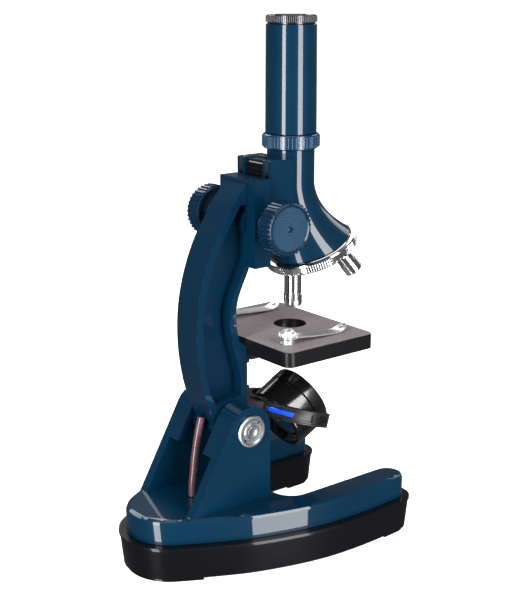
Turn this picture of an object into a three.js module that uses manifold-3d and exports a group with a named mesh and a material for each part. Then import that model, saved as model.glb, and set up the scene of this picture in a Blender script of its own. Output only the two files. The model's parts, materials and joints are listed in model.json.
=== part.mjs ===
// A student microscope: tilting arm on a forked base, rack focus, three-objective turret,
// zoom collar, stage with spring clips, and a lamp and mirror drum in a yoke.
// Millimetres, +Z up, the front of the microscope towards -Y.
// Every shape is drawn about the optical axis (X = 0, Y = 0); the last group centres the base.
import * as THREE from 'three';
import { mergeVertices } from 'three/addons/utils/BufferGeometryUtils.js';
import Module from 'manifold-3d';

const wasm = await Module();
wasm.setup();

// ---------------------------------------------------------------- driving dimensions
const GAP = 0.3; // between pieces that touch
const RUN = 0.25; // radial clearance of a shaft in its hole
const ROUND = 20; // segments of a large round piece

// base
const BASE_HALF_WIDTH = 55.6;
const BASE_REAR = 109;
const BASE_FRONT = -49.4;
const REAR_RADIUS = 28;
const PRONG_WIDTH = 24;
const PRONG_LEAN = 42.2;
const NOTCH_BACK = 25;
const NOTCH_RADIUS = 8;
const FOOT_HEIGHT = 2;
const FOOT_FRONT = -27;
const FOOT_REAR = 81;
const SKIRT_TOP = 20.3;
const SKIRT_DRAFT = 1.6;
const SKIRT_WALL = 2.5;
const LIP = 0.6;
const LEDGE = 6;
const CASTING_INSET = 3.6;
const CASTING_WALL = 3;
const CASTING_TOP = 33.6;
const CASTING_EDGE = 2.5;

// two AA cells under the base
const BATTERY_RADIUS = 7.1;
const BATTERY_LENGTH = 47;
const BATTERY_X = BATTERY_RADIUS + 0.7;
const BATTERY_Z = BATTERY_RADIUS + 4.1;
const BAY = { x: 2 * BATTERY_RADIUS + 2.8, front: 32, rear: 88 };

// tilt hinge
const HINGE_Y = 47;
const HINGE_Z = 73.4;
const EAR_OUTER = 24.8;
const EAR_THICK = 5.8;
const EAR_RADIUS = 13.3;
const EAR_FOOT_REAR = 84.7;
const EAR_FLANGE = 3;
const EAR_HOOD_INNER = 11.5;
const EAR_NOTCH_Z = 62;
const BOLT_RADIUS = 3.4;
const WASHER_RADIUS = 8.8;
const WASHER_THICK = 1.6;

// arm
const ARM_HALF = 9;
const ARM_FLANGE = 4.2;
const ARM_WEB_HALF = 1.2;
const ARM_FRONT = 36.8;
const BLOCK_HALF = 15;
const BLOCK_FRONT = 25.5;
const BLOCK_REAR = 36;
const BLOCK_BOTTOM = 157.4;
const BLOCK_TOP = 203.4;

// focus drive
const FOCUS_Y = 29.6;
const FOCUS_Z = 181;
const MODULE = 0.8;
const PINION_TEETH = 14;
const PINION_HALF = 6.2;
const BACKLASH = 0.3;
const SHAFT_RADIUS = 2.5;
const KNOB_RADIUS = 14.27;
const KNOB_THICK = 10;
const KNOB_OUTER = 36.3;
const KNOB_FLUTES = 20;

// head
const CARRIAGE_HALF = 14;
const CARRIAGE_REAR = 25.2;
const CARRIAGE_TOP = 212.5;
const CARRIAGE_BOTTOM = 163;
const RACK_HALF = 7.3;
const LOWER_TUBE_RADIUS = 12.8;
const BELL_TOP = 198;
const RAIL_X = 10.8;

// eyepiece tube
const COLLAR_BOTTOM = 216.2;
const COLLAR_TOP = 223.8;
const COLLAR_RADIUS = 15.77;
const TUBE_RADIUS_LOW = 13.72;
const TUBE_RADIUS_TOP = 13.35;
const TUBE_WALL = 1.6;
const OVERALL_HEIGHT = 285;
const TUBE_TOP = OVERALL_HEIGHT - 4.6;
const CAP_RADIUS = 13.56;
const EYE_LENS_RADIUS = 8;
const ZOOM_CELL_Z = COLLAR_TOP + 16.2;
const SPIGOT_RADIUS = TUBE_RADIUS_LOW - TUBE_WALL - GAP;

// turret
const TURRET_Y = -14.65;
const TURRET_Z = 159.6;
const TURRET_TILT = THREE.MathUtils.degToRad(22.5);
const TURRET_RADIUS = 26.7;
const TURRET_RIM = 5.4;
const BELL_RADIUS = 23.1;
const BELL_WALL = 2.6;
const OBJECTIVE_RADIUS = 5.2;
const OBJECTIVE_Y = -2;
const OBJECTIVE_LENGTHS = [25.8, 19.5, 16];

// stage
const STAGE_TOP = 118.4;
const STAGE_THICK = 8.3;
const STAGE_HALF = 43;
const STAGE_FRONT = -24.2;
const STAGE_REAR = ARM_FRONT - GAP;
const STAGE_HOLE = 9.1;
const STAGE_CORNER = 5;
const STAGE_SKIN = 3;
const CLIP_X = 29;
const CLIP_Y = 25.5;
const CLIP_WIDTH = 7.6;
const CLIP_THICK = 0.8;
const CLIP_TIP = -15.5;
const POST_TOP = STAGE_TOP + 2.6;
const BRACKET_Z = 107;
const SHELF_THICK = 2.4;
const SMALL_SCREW = 1.2;

// lamp drum and yoke
const LAMP_Z = 69;
const LAMP_RADIUS = 18.8;
const LAMP_HALF = 11.5;
const LAMP_TILT = THREE.MathUtils.degToRad(62);
const BEZEL_FROM = 3.8;
const LAMP_WALL = 1.6;
const YOKE_INNER = LAMP_RADIUS + 4.2;
const YOKE_OUTER = YOKE_INNER + 3.4;
const YOKE_HEIGHT = 8;
const YOKE_BLOCK = 1.2;
const YOKE_TILT = THREE.MathUtils.degToRad(-17);
const PIVOT_RADIUS = 1.6;
const YOKE_FOOT_Z = 84;
const YOKE_FOOT_THICK = 3;

// lead between the base and the arm, a route chosen by hand: [y, z] in the middle plane
const LEAD_RADIUS = 2.1;
const LEAD_ROUTE = [
  [60.9, 77.2],
  [62.4, 72.0],
  [64.0, 65.0],
  [65.5, 56.5],
  [66.7, 47.0],
  [67.5, 40.0],
  [67.8, CASTING_TOP + GAP],
];

// ---------------------------------------------------------------- helpers
const X_AXIS = new THREE.Vector3(1, 0, 0);
// shape x, y and extrusion depth become Y, Z and X
const SIDEWAYS = new THREE.Matrix4().makeBasis(
  new THREE.Vector3(0, 1, 0),
  new THREE.Vector3(0, 0, 1),
  X_AXIS,
);

function solid(geometry) {
  const bare = geometry.index ? geometry.clone() : mergeVertices(geometry);
  bare.deleteAttribute('normal');
  bare.deleteAttribute('uv');
  const merged = mergeVertices(bare, 1e-4);
  return new wasm.Manifold(
    new wasm.Mesh({
      numProp: 3,
      vertProperties: merged.attributes.position.array,
      triVerts: new Uint32Array(merged.index.array),
    }),
  );
}

function geometryOf(manifold) {
  const mesh = manifold.getMesh();
  const geometry = new THREE.BufferGeometry();
  geometry.setAttribute('position', new THREE.BufferAttribute(mesh.vertProperties, 3));
  geometry.setIndex(new THREE.BufferAttribute(mesh.triVerts, 1));
  const flat = geometry.toNonIndexed();
  flat.computeVertexNormals();
  return flat;
}

function join(...pieces) {
  return pieces.reduce((all, piece) => all.add(piece));
}

function box(x0, x1, y0, y1, z0, z1) {
  const geometry = new THREE.BoxGeometry(x1 - x0, y1 - y0, z1 - z0);
  geometry.translate((x0 + x1) / 2, (y0 + y1) / 2, (z0 + z1) / 2);
  return solid(geometry);
}

// a profile of [radius, height] points turned about Z
function turned(profile, segments = ROUND) {
  const points = profile.map(([r, h]) => new THREE.Vector2(r, h));
  const geometry = new THREE.LatheGeometry(points, segments);
  return solid(geometry.rotateX(Math.PI / 2));
}

// a round bar along Z from z0 to z1
function bar(radius, z0, z1, segments = ROUND) {
  return turned([[0, z0], [radius, z0], [radius, z1], [0, z1]], segments);
}

// a ring along Z
function ring(inner, outer, z0, z1, segments = ROUND) {
  return turned([[inner, z0], [outer, z0], [outer, z1], [inner, z1], [inner, z0]], segments);
}

function moved(manifold, x, y, z) {
  return manifold.translate([x, y, z]);
}

// turns a piece made along Z so that it runs along X
function alongX(manifold) {
  return manifold.rotate([0, 90, 0]);
}

// turns a piece made along Z onto the tilt hinge, and onto the focus shaft
const atHinge = (manifold) => moved(alongX(manifold), 0, HINGE_Y, HINGE_Z);
const atShaft = (manifold) => moved(alongX(manifold), 0, FOCUS_Y, FOCUS_Z);

// a hole through a front plate into the arm, at a height
function armHole(radius, from, to, z) {
  return moved(bar(radius, from, to, 12).rotate([-90, 0, 0]), 0, 0, z);
}

function mirrored(manifold) {
  return manifold.mirror([1, 0, 0]);
}

function plate(shape, z0, z1, curveSegments = 6) {
  const geometry = new THREE.ExtrudeGeometry(shape, {
    depth: z1 - z0,
    bevelEnabled: false,
    curveSegments,
  });
  geometry.translate(0, 0, z0);
  return solid(geometry);
}

// a shape drawn in Y and Z, extruded from x0 to x1
function sidePlate(shape, x0, x1, curveSegments = 6) {
  const geometry = new THREE.ExtrudeGeometry(shape, {
    depth: x1 - x0,
    bevelEnabled: false,
    curveSegments,
  });
  geometry.translate(0, 0, x0);
  return solid(geometry.applyMatrix4(SIDEWAYS));
}

function polygon(points) {
  return new THREE.Shape(points.map(([x, y]) => new THREE.Vector2(x, y)));
}

// a closed outline moved inwards by a distance; the outline runs anticlockwise
function inset(outline, distance) {
  return outline.map((point, i) => {
    const before = outline[(i + outline.length - 1) % outline.length];
    const after = outline[(i + 1) % outline.length];
    const into = point.clone().sub(before).normalize();
    const out = after.clone().sub(point).normalize();
    const half = into.add(out).normalize();
    const inward = new THREE.Vector2(-half.y, half.x);
    const stretch = Math.max(0.6, half.dot(out));
    return point.clone().addScaledVector(inward, distance / stretch);
  });
}

// a closed skin through rings of different size and tilt
function loft(rings, segments) {
  const geometry = new THREE.CylinderGeometry(1, 1, 1, segments, rings.length - 1);
  const place = geometry.attributes.position;
  for (let i = 0; i < place.count; i += 1) {
    const x = place.getX(i);
    const z = place.getZ(i);
    const level = Math.round((0.5 - place.getY(i)) * (rings.length - 1));
    const { y, height, radius, tilt } = rings[level];
    place.setXYZ(
      i,
      radius * x,
      y - radius * z * Math.cos(tilt),
      height + radius * z * Math.sin(tilt),
    );
  }
  return solid(geometry);
}

// [radius, turn in radians] as [x, y]
function polar([radius, turn]) {
  return [radius * Math.cos(turn), radius * Math.sin(turn)];
}

// grip ribs round a rim: one extruded star outline
function fluted(radius, depth, count, z0, z1) {
  const step = (2 * Math.PI) / count;
  const corners = [];
  for (let i = 0; i < count; i += 1) {
    corners.push([radius, (i - 0.28) * step]);
    corners.push([radius, (i + 0.28) * step]);
    corners.push([radius - depth, (i + 0.36) * step]);
    corners.push([radius - depth, (i + 0.64) * step]);
  }
  return plate(polygon(corners.map(polar)), z0, z1);
}

const materials = {
  blue: [0x12406a, 0.28, 0.1],
  knobBlue: [0x2c4f74, 0.35, 0.1],
  black: [0x1b1b1d, 0.45, 0],
  stageBlack: [0x3a383a, 0.6, 0],
  chrome: [0xd8dade, 0.15, 1],
  steel: [0xb4b6ba, 0.35, 1],
  glass: [0xbfd6e6, 0.05, 0],
  mirror: [0xe6ecf0, 0.03, 1],
  battery: [0xb08a3c, 0.4, 0.6],
  clearBlue: [0x2f5be0, 0.2, 0],
  white: [0xe8e8e2, 0.6, 0],
  lead: [0x6a4f52, 0.35, 0],
};

const model = new THREE.Group();

function add(name, manifold, finish) {
  const [color, roughness, metalness] = materials[finish];
  const material = new THREE.MeshStandardMaterial({ color, roughness, metalness });
  const mesh = new THREE.Mesh(geometryOf(manifold), material);
  mesh.name = name;
  model.add(mesh);
  return mesh;
}

// ---------------------------------------------------------------- base
// right half from the rear centre to the notch, then mirrored
function baseOutline() {
  const tip = PRONG_WIDTH / 2;
  const path = new THREE.Path();
  path.absarc(0, BASE_REAR - REAR_RADIUS, REAR_RADIUS, Math.PI / 2, Math.PI / 6, true);
  path.splineThru([
    new THREE.Vector2(0.6 * BASE_HALF_WIDTH, 0.72 * BASE_REAR),
    new THREE.Vector2(0.8 * BASE_HALF_WIDTH, 0.5 * BASE_REAR),
    new THREE.Vector2(0.96 * BASE_HALF_WIDTH, 0.2 * BASE_REAR),
    new THREE.Vector2(BASE_HALF_WIDTH, -8),
    new THREE.Vector2(PRONG_LEAN + tip, BASE_FRONT + tip),
  ]);
  path.absarc(PRONG_LEAN, BASE_FRONT + tip, tip, 0, -Math.PI, true);
  const innerX = PRONG_LEAN - tip;
  const cornerY = NOTCH_BACK - NOTCH_RADIUS;
  path.absarc(innerX - NOTCH_RADIUS, cornerY, NOTCH_RADIUS, 0, Math.PI / 2, false);
  const dense = path.getPoints(5);
  const half = dense.filter((p, i) => i === 0 || p.distanceTo(dense[i - 1]) > 0.4);
  const left = half
    .slice(1)
    .reverse()
    .map((p) => new THREE.Vector2(-p.x, p.y));
  return [...half, ...left].reverse();
}

const OUTLINE = baseOutline();
const outlineShape = (distance) => new THREE.Shape(inset(OUTLINE, distance));
const SCREW_SPOTS = [[-42.2, -36], [42.2, -36], [0, 98]];

function skirt() {
  const rise = SKIRT_TOP - FOOT_HEIGHT - 2;
  const draft = new THREE.ExtrudeGeometry(outlineShape(0), {
    depth: 2,
    bevelThickness: rise,
    bevelSize: SKIRT_DRAFT,
    bevelOffset: -SKIRT_DRAFT,
    bevelSegments: 1,
  });
  draft.translate(0, 0, FOOT_HEIGHT + rise);
  const below = box(-80, 80, -80, 140, -1, SKIRT_TOP);
  const lip = plate(outlineShape(-LIP), SKIRT_TOP - 1.6, SKIRT_TOP);
  const footOutline = plate(outlineShape(SKIRT_DRAFT + 1.4), 0, FOOT_HEIGHT + 1);
  const feet = join(
    footOutline.intersect(box(-80, 80, -80, FOOT_FRONT, -1, 5)),
    footOutline.intersect(box(-80, 80, FOOT_REAR, 140, -1, 5)),
  );
  const inside = plate(outlineShape(SKIRT_WALL + SKIRT_DRAFT), FOOT_HEIGHT + 2, SKIRT_TOP - 2);
  const mouth = plate(outlineShape(LEDGE), SKIRT_TOP - 3, SKIRT_TOP + 1);
  let tray = join(solid(draft).intersect(below), lip, feet).subtract(join(inside, mouth));
  const hatch = box(-BAY.x, BAY.x, BAY.front, BAY.rear, -1, FOOT_HEIGHT + 3);
  tray = tray.subtract(hatch);
  for (const [x, y] of SCREW_SPOTS) {
    tray = tray.subtract(moved(bar(1.7 + RUN, -1, 6, 10), x, y, 0));
    tray = tray.subtract(moved(bar(3.4, -1, FOOT_HEIGHT, 10), x, y, 0));
  }
  return tray;
}

// the point where the sloped rear edge leaves the ear's round top
function earSlope() {
  const away = new THREE.Vector2(EAR_FOOT_REAR - HINGE_Y, CASTING_TOP - HINGE_Z);
  const turn = Math.acos(EAR_RADIUS / away.length());
  return Math.atan2(away.y, away.x) + turn;
}

function earShape(shrink) {
  const foot = CASTING_TOP - 1;
  const radius = EAR_RADIUS - shrink;
  const slope = earSlope();
  const tangentY = HINGE_Y + radius * Math.cos(slope);
  const tangentZ = HINGE_Z + radius * Math.sin(slope);
  const shape = new THREE.Shape();
  shape.moveTo(HINGE_Y - radius, foot);
  shape.lineTo(tangentY + (tangentZ - foot) * Math.tan(slope), foot);
  shape.absarc(HINGE_Y, HINGE_Z, radius, slope, Math.PI, false);
  return shape;
}

// right ear: a plate with a wide hood round its top and down to a notch in its rear edge
function ear() {
  const body = sidePlate(earShape(0), EAR_OUTER - EAR_THICK, EAR_OUTER);
  const core = sidePlate(earShape(EAR_FLANGE), 0, EAR_OUTER);
  const skin = sidePlate(earShape(0), EAR_HOOD_INNER, EAR_OUTER).subtract(core);
  const rear = box(0, 40, HINGE_Y, 140, 0, 200);
  const hood = skin.intersect(rear).intersect(box(0, 40, 0, 140, EAR_NOTCH_Z, 200));
  const boss = atHinge(bar(EAR_RADIUS - EAR_FLANGE + 0.2, EAR_HOOD_INNER, EAR_OUTER));
  const hole = atHinge(bar(BOLT_RADIUS + RUN, 0, 40));
  return join(body, hood, boss).subtract(hole);
}

function casting() {
  const bottom = SKIRT_TOP + GAP;
  const rounded = new THREE.ExtrudeGeometry(outlineShape(CASTING_INSET), {
    depth: CASTING_TOP - bottom,
    bevelThickness: CASTING_EDGE,
    bevelSize: CASTING_EDGE,
    bevelOffset: -CASTING_EDGE,
    bevelSegments: 2,
  });
  rounded.translate(0, 0, bottom - CASTING_EDGE);
  const cover = solid(rounded).intersect(box(-80, 80, -80, 140, bottom, 60));
  const cavity = plate(outlineShape(CASTING_INSET + CASTING_WALL), 0, CASTING_TOP - CASTING_WALL);
  let body = cover.subtract(cavity);
  for (const [x, y] of SCREW_SPOTS) {
    body = body.add(moved(bar(4, FOOT_HEIGHT + 2 + GAP, CASTING_TOP - 1, 14), x, y, 0));
    body = body.subtract(moved(bar(1.7, 0, 16, 10), x, y, 0));
  }
  const right = ear();
  const leadHole = moved(bar(LEAD_RADIUS + 0.5, 20, 60, 14), 0, LEAD_ROUTE.at(-1)[0], 0);
  return join(body, right, mirrored(right)).subtract(leadHole);
}

// a screw along +Z with its head at the bottom
function screw(radius, headRadius, headHeight, length) {
  const shank = [[0, 0], [headRadius, 0], [headRadius, headHeight], [radius, headHeight]];
  const body = turned([...shank, [radius, length], [0, length]], 12);
  const slot = box(-0.4, 0.4, -headRadius * 0.6, headRadius * 0.6, -1, headHeight * 0.5);
  return body.subtract(slot);
}

function batteryCover() {
  const panel = box(
    -BAY.x + GAP, BAY.x - GAP,
    BAY.front + GAP, BAY.rear - GAP,
    FOOT_HEIGHT, FOOT_HEIGHT + 1.6,
  );
  const hole = moved(bar(1.5 + RUN, -5, 9, 12), 0, BAY.front + 6, 0);
  const grip = [0, 1, 2].map((i) => box(-8, 8, 74 + 4 * i, 76 + 4 * i, 0, FOOT_HEIGHT + 0.5));
  return grip.reduce((cover, cut) => cover.subtract(cut), panel.subtract(hole));
}

function battery() {
  const half = BATTERY_LENGTH / 2;
  const r = BATTERY_RADIUS;
  const can = [[0, -half], [r - 0.4, -half], [r, -half + 0.5], [r, half - 1.8]];
  const cap = [[2.8, half - 1.4], [2.8, half], [0, half]];
  return turned([...can, ...cap]);
}

// a flat contact strip with its tongue against the cells
function contactStrip(y, toFront) {
  const side = toFront ? -1 : 1;
  const strip = box(-BAY.x + 1, BAY.x - 1, y - 0.4, y + 0.4, BATTERY_Z - 5, BATTERY_Z + 5);
  const pad = moved(bar(2.6, 0, 1.2, 12).rotate([side * 90, 0, 0]), BATTERY_X, y, BATTERY_Z);
  return join(strip, pad, mirrored(pad));
}

function hingeBolt() {
  const end = EAR_OUTER + GAP + WASHER_THICK + 0.6;
  return atHinge(bar(BOLT_RADIUS, -end, end));
}

// a dished round nut with two spanner holes
function hingeNut(side) {
  const from = EAR_OUTER + GAP;
  const to = from + WASHER_THICK;
  const bore = BOLT_RADIUS + RUN;
  const disc = turned([
    [bore, from], [WASHER_RADIUS, from], [WASHER_RADIUS, to - 0.5],
    [WASHER_RADIUS - 0.6, to], [bore + 1.2, to], [bore, to - 0.6], [bore, from],
  ]);
  const holes = [1, -1].map((turn) => moved(bar(0.9, 0, 40, 10), 0, turn * 6.4, 0));
  const placed = atHinge(disc.subtract(join(...holes)));
  return side > 0 ? placed : mirrored(placed);
}

// ---------------------------------------------------------------- arm
// points [y, z] of the rear edge from the block down, and of the belly above the stage
const ARM_BACK = [
  [45, 192],
  [51.5, 182.4],
  [58.6, 170.9],
  [65, 154.6],
  [68.8, 136],
  [69, 115.4],
  [65.6, 95],
  [60, 80],
];
const ARM_BELLY = [[36.6, 154], [42.6, 141], [44, 130], [42.2, 118]];

function armShape() {
  const shape = new THREE.Shape();
  const toVector = ([y, z]) => new THREE.Vector2(y, z);
  shape.moveTo(BLOCK_REAR - 1, 200.5);
  shape.lineTo(BLOCK_REAR - 1, BLOCK_BOTTOM);
  shape.splineThru(ARM_BELLY.map(toVector));
  shape.lineTo(ARM_FRONT, 114);
  shape.lineTo(ARM_FRONT, HINGE_Z + 4);
  shape.absarc(HINGE_Y, HINGE_Z, HINGE_Y - ARM_FRONT, Math.PI - 0.4, 2 * Math.PI, false);
  shape.splineThru([...ARM_BACK].reverse().map(toVector));
  shape.lineTo(BLOCK_REAR + 1, 201.2);
  return shape;
}

// the sunk panel in each side of the arm
function panelShape() {
  const shape = new THREE.Shape();
  const rib = HINGE_Z + EAR_RADIUS + 1.5;
  const shifted = ([y, z]) => new THREE.Vector2(y - ARM_FLANGE, z - 1.5);
  const inner = ([y, z]) => new THREE.Vector2(y + ARM_FLANGE, z - 1);
  shape.moveTo(BLOCK_REAR + 0.2, 191);
  shape.lineTo(BLOCK_REAR + 0.2, BLOCK_BOTTOM + 4);
  shape.splineThru(ARM_BELLY.map(inner));
  shape.lineTo(ARM_FRONT + ARM_FLANGE, 98);
  shape.lineTo(ARM_FRONT + ARM_FLANGE, rib);
  shape.lineTo(57, rib - 3);
  shape.splineThru(ARM_BACK.slice(0, -1).reverse().map(shifted));
  return shape;
}

function slideRails() {
  const rail = polygon([[-0.9, 1], [0.9, 1], [0.9, -1.2], [1.7, -2.6], [-1.7, -2.6], [-0.9, -1.2]]);
  const one = plate(rail, BLOCK_BOTTOM + 6, BLOCK_TOP - 4);
  return join(moved(one, RAIL_X, BLOCK_FRONT, 0), moved(one, -RAIL_X, BLOCK_FRONT, 0));
}

function armCasting() {
  const limb = sidePlate(armShape(), -ARM_HALF, ARM_HALF, 7);
  const pocket = sidePlate(panelShape(), ARM_WEB_HALF, 20, 7);
  const web = limb.subtract(join(pocket, mirrored(pocket)));
  const block = box(-BLOCK_HALF, BLOCK_HALF, BLOCK_FRONT, BLOCK_REAR, BLOCK_BOTTOM, BLOCK_TOP);
  const rearOnly = box(-20, 20, BLOCK_FRONT + 1, 60, BLOCK_BOTTOM, BLOCK_TOP);
  const barrel = atShaft(bar(9, -PINION_HALF - 2, PINION_HALF + 2)).intersect(rearOnly);
  const hubHalf = EAR_HOOD_INNER - GAP;
  const hub = atHinge(bar(HINGE_Y - ARM_FRONT - 0.4, -hubHalf, hubHalf));
  const pinionRoom = atShaft(bar(pinionTip() + 0.5, -PINION_HALF - GAP, PINION_HALF + GAP));
  const shaftHole = atShaft(bar(SHAFT_RADIUS + RUN, -40, 40, 18));
  const boltHole = atHinge(bar(BOLT_RADIUS + RUN, -40, 40));
  const leadHole = moved(bar(LEAD_RADIUS + 0.5, -8, 4, 14).rotate([-20, 0, 0]), 0, 60.6, 79);
  const screwHoles = [BRACKET_Z, YOKE_FOOT_Z].map((z) => {
    return armHole(SMALL_SCREW + RUN, ARM_FRONT - 1, ARM_FRONT + 6, z);
  });
  return join(web, block, barrel, hub, slideRails())
    .subtract(join(pinionRoom, shaftHole, boltHole))
    .subtract(join(leadHole, ...screwHoles));
}

// ---------------------------------------------------------------- focus drive
const PITCH_RADIUS = (MODULE * PINION_TEETH) / 2;
const ADDENDUM = 0.75 * MODULE;
const DEDENDUM = 1.15 * MODULE;
const RACK_LINE = FOCUS_Y - PITCH_RADIUS;
const PRESSURE = THREE.MathUtils.degToRad(20);
function pinionTip() {
  return PITCH_RADIUS + ADDENDUM;
}

// involute flank points of one tooth, by radius
function pinionShape() {
  const base = PITCH_RADIUS * Math.cos(PRESSURE);
  const spread = (r) => (r <= base ? 0 : Math.tan(Math.acos(base / r)) - Math.acos(base / r));
  const halfAtPitch = (Math.PI * MODULE - BACKLASH) / (4 * PITCH_RADIUS);
  const levels = [PITCH_RADIUS - DEDENDUM, base, PITCH_RADIUS, pinionTip()];
  const half = levels.map((r) => halfAtPitch + spread(PITCH_RADIUS) - spread(r));
  const flank = levels.map((r, i) => [r, half[i]]);
  const points = [];
  for (let tooth = 0; tooth < PINION_TEETH; tooth += 1) {
    const middle = (2 * Math.PI * tooth) / PINION_TEETH;
    points.push(...flank.map(([r, turn]) => [r, middle - turn]));
    points.push(...[...flank].reverse().map(([r, turn]) => [r, middle + turn]));
  }
  return polygon(points.map(polar));
}

function pinionShaft() {
  // a tooth of the pinion points straight at the rack, so a gap of the rack faces it
  const gear = plate(pinionShape(), -PINION_HALF, PINION_HALF).rotate([0, 0, 180]);
  const shaft = bar(SHAFT_RADIUS, -KNOB_OUTER + 3, KNOB_OUTER - 3, 18);
  const body = join(gear, shaft);
  // local X, Y, Z become Y, Z, X
  return moved(body.transform(SIDEWAYS.elements), 0, FOCUS_Y, FOCUS_Z);
}

function knob(side) {
  const inner = KNOB_OUTER - KNOB_THICK;
  const rim = fluted(KNOB_RADIUS, 0.8, KNOB_FLUTES, inner, KNOB_OUTER - 0.8);
  const face = turned([
    [0, KNOB_OUTER - 3], [KNOB_RADIUS - 1, KNOB_OUTER - 3], [KNOB_RADIUS - 1, KNOB_OUTER - 0.6],
    [KNOB_RADIUS - 1.6, KNOB_OUTER], [KNOB_RADIUS - 3.6, KNOB_OUTER],
    [KNOB_RADIUS - 3.6, KNOB_OUTER - 0.8], [0, KNOB_OUTER - 0.8],
  ]);
  const hollow = bar(KNOB_RADIUS - 3, inner - 1, KNOB_OUTER - 2.6);
  const hub = bar(5, BLOCK_HALF + 0.8, KNOB_OUTER - 2, 20);
  const bore = bar(SHAFT_RADIUS + GAP, 0, KNOB_OUTER - 3 + GAP, 18);
  const body = join(rim, face).subtract(hollow).add(hub).subtract(bore);
  const placed = atShaft(body);
  return side > 0 ? placed : mirrored(placed);
}

// ---------------------------------------------------------------- stage
function stagePlate() {
  const corner = STAGE_CORNER;
  const shape = new THREE.Shape();
  shape.absarc(STAGE_HALF - corner, STAGE_REAR - corner, corner, 0, Math.PI / 2, false);
  shape.absarc(-STAGE_HALF + corner, STAGE_REAR - corner, corner, Math.PI / 2, Math.PI, false);
  shape.absarc(-STAGE_HALF + corner, STAGE_FRONT + corner, corner, Math.PI, 1.5 * Math.PI, false);
  shape.absarc(STAGE_HALF - corner, STAGE_FRONT + corner, corner, 1.5 * Math.PI, 2 * Math.PI, false);
  const edge = 1;
  const rounded = new THREE.ExtrudeGeometry(shape, {
    depth: STAGE_THICK,
    bevelThickness: edge,
    bevelSize: edge,
    bevelOffset: -edge,
    bevelSegments: 2,
    curveSegments: 4,
  });
  rounded.translate(0, 0, STAGE_TOP - STAGE_THICK - edge);
  const bottom = STAGE_TOP - STAGE_THICK;
  const cover = solid(rounded).intersect(box(-80, 80, -80, 80, bottom, STAGE_TOP + 1));
  const wall = 2.2;
  const hollow = box(
    -STAGE_HALF + wall, STAGE_HALF - wall, STAGE_FRONT + wall, STAGE_REAR - wall,
    bottom - 1, STAGE_TOP - STAGE_SKIN,
  ).subtract(bar(STAGE_HOLE + 2, 0, 200)).subtract(box(-13, 13, 18, 60, 0, 200));
  let body = cover.subtract(hollow).subtract(bar(STAGE_HOLE, 0, 200));
  for (const side of [-1, 1]) {
    body = body.add(moved(bar(4, bottom, STAGE_TOP - 1, 14), side * CLIP_X, CLIP_Y, 0));
    body = body.subtract(moved(bar(1.8, 0, 200, 12), side * CLIP_X, CLIP_Y, 0));
    body = body.subtract(moved(bar(SMALL_SCREW + RUN, 0, STAGE_TOP - 2, 12), side * 7, 25, 0));
  }
  return body;
}

function stageBracket() {
  const under = STAGE_TOP - STAGE_THICK - GAP;
  const shelf = box(-12, 12, 18, ARM_FRONT - GAP, under - SHELF_THICK, under);
  const leg = box(-7.5, 7.5, ARM_FRONT - GAP - SHELF_THICK, ARM_FRONT - GAP, BRACKET_Z - 2.6, under);
  const legFront = ARM_FRONT - GAP - SHELF_THICK;
  const hole = armHole(SMALL_SCREW + RUN, legFront - 20, ARM_FRONT, BRACKET_Z);
  const headRoom = armHole(2.3, legFront - 30, legFront, BRACKET_Z);
  let body = join(shelf, leg).subtract(join(hole, headRoom));
  for (const side of [-1, 1]) {
    body = body.subtract(moved(bar(SMALL_SCREW + RUN, 0, 200, 12), side * 7, 25, 0));
  }
  return body;
}

function stageScrew(side) {
  const under = STAGE_TOP - STAGE_THICK - GAP;
  return moved(screw(SMALL_SCREW, 2.2, 1.2, 8), side * 7, 25, under - SHELF_THICK - 1.2 - GAP);
}

// a screw through a front plate into the arm
function armScrew(z, plateThick) {
  const from = ARM_FRONT - GAP - plateThick - 1.2 - GAP;
  return moved(screw(SMALL_SCREW, 1.9, 1.2, 8).rotate([-90, 0, 0]), 0, from, z);
}

// the thumb nut: a knurled head above the clip, on its stud
function clipNut(side) {
  const z = POST_TOP + CLIP_THICK + 2 * GAP;
  const head = fluted(4.6, 0.4, 12, z, z + 2.6);
  const rim = [[0, z + 0.4], [4, z + 0.4], [4, z + 3], [3.4, z + 3.3]];
  const dish = turned([...rim, [2.4, z + 3.3], [2, z + 2.8], [0, z + 2.8]], 16);
  const stud = bar(1.4, STAGE_TOP - STAGE_THICK + 0.5, z + 1, 12);
  return moved(join(head, dish, stud), side * CLIP_X, CLIP_Y, 0);
}

function clipPost(side) {
  return moved(ring(1.4 + RUN, 4, STAGE_TOP + GAP, POST_TOP, 20), side * CLIP_X, CLIP_Y, 0);
}

// a sprung strip from the post down to the stage, its tip curled up round a small hole
function stageClip(side) {
  const z = POST_TOP + GAP;
  const line = [
    [CLIP_Y + 5, z], [CLIP_Y - 6, z], [CLIP_Y - 16, STAGE_TOP + 1.6], [-5, STAGE_TOP + 0.5],
    [-9, STAGE_TOP + 0.5], [-12, STAGE_TOP + 1.6], [CLIP_TIP, STAGE_TOP + 3.6],
  ];
  const over = [...line].reverse().map(([y, h]) => [y, h + CLIP_THICK]);
  const strip = sidePlate(polygon([...line, ...over].reverse()), -CLIP_WIDTH / 2, CLIP_WIDTH / 2);
  const outline = new THREE.Shape();
  outline.absarc(0, CLIP_Y, CLIP_WIDTH / 2, 0, Math.PI, false);
  outline.absarc(0, CLIP_TIP + 4.2, 3.6, Math.PI, 2 * Math.PI, false);
  const trimmed = strip.intersect(plate(outline, STAGE_TOP, STAGE_TOP + 9, 8));
  const studHole = moved(bar(1.4 + RUN, 0, 200, 14), 0, CLIP_Y, 0);
  const tipHole = moved(bar(1.3, 0, 200, 12), 0, CLIP_TIP + 3.6, 0);
  return moved(trimmed.subtract(join(studHole, tipHole)), side * CLIP_X, 0, 0);
}

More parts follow.
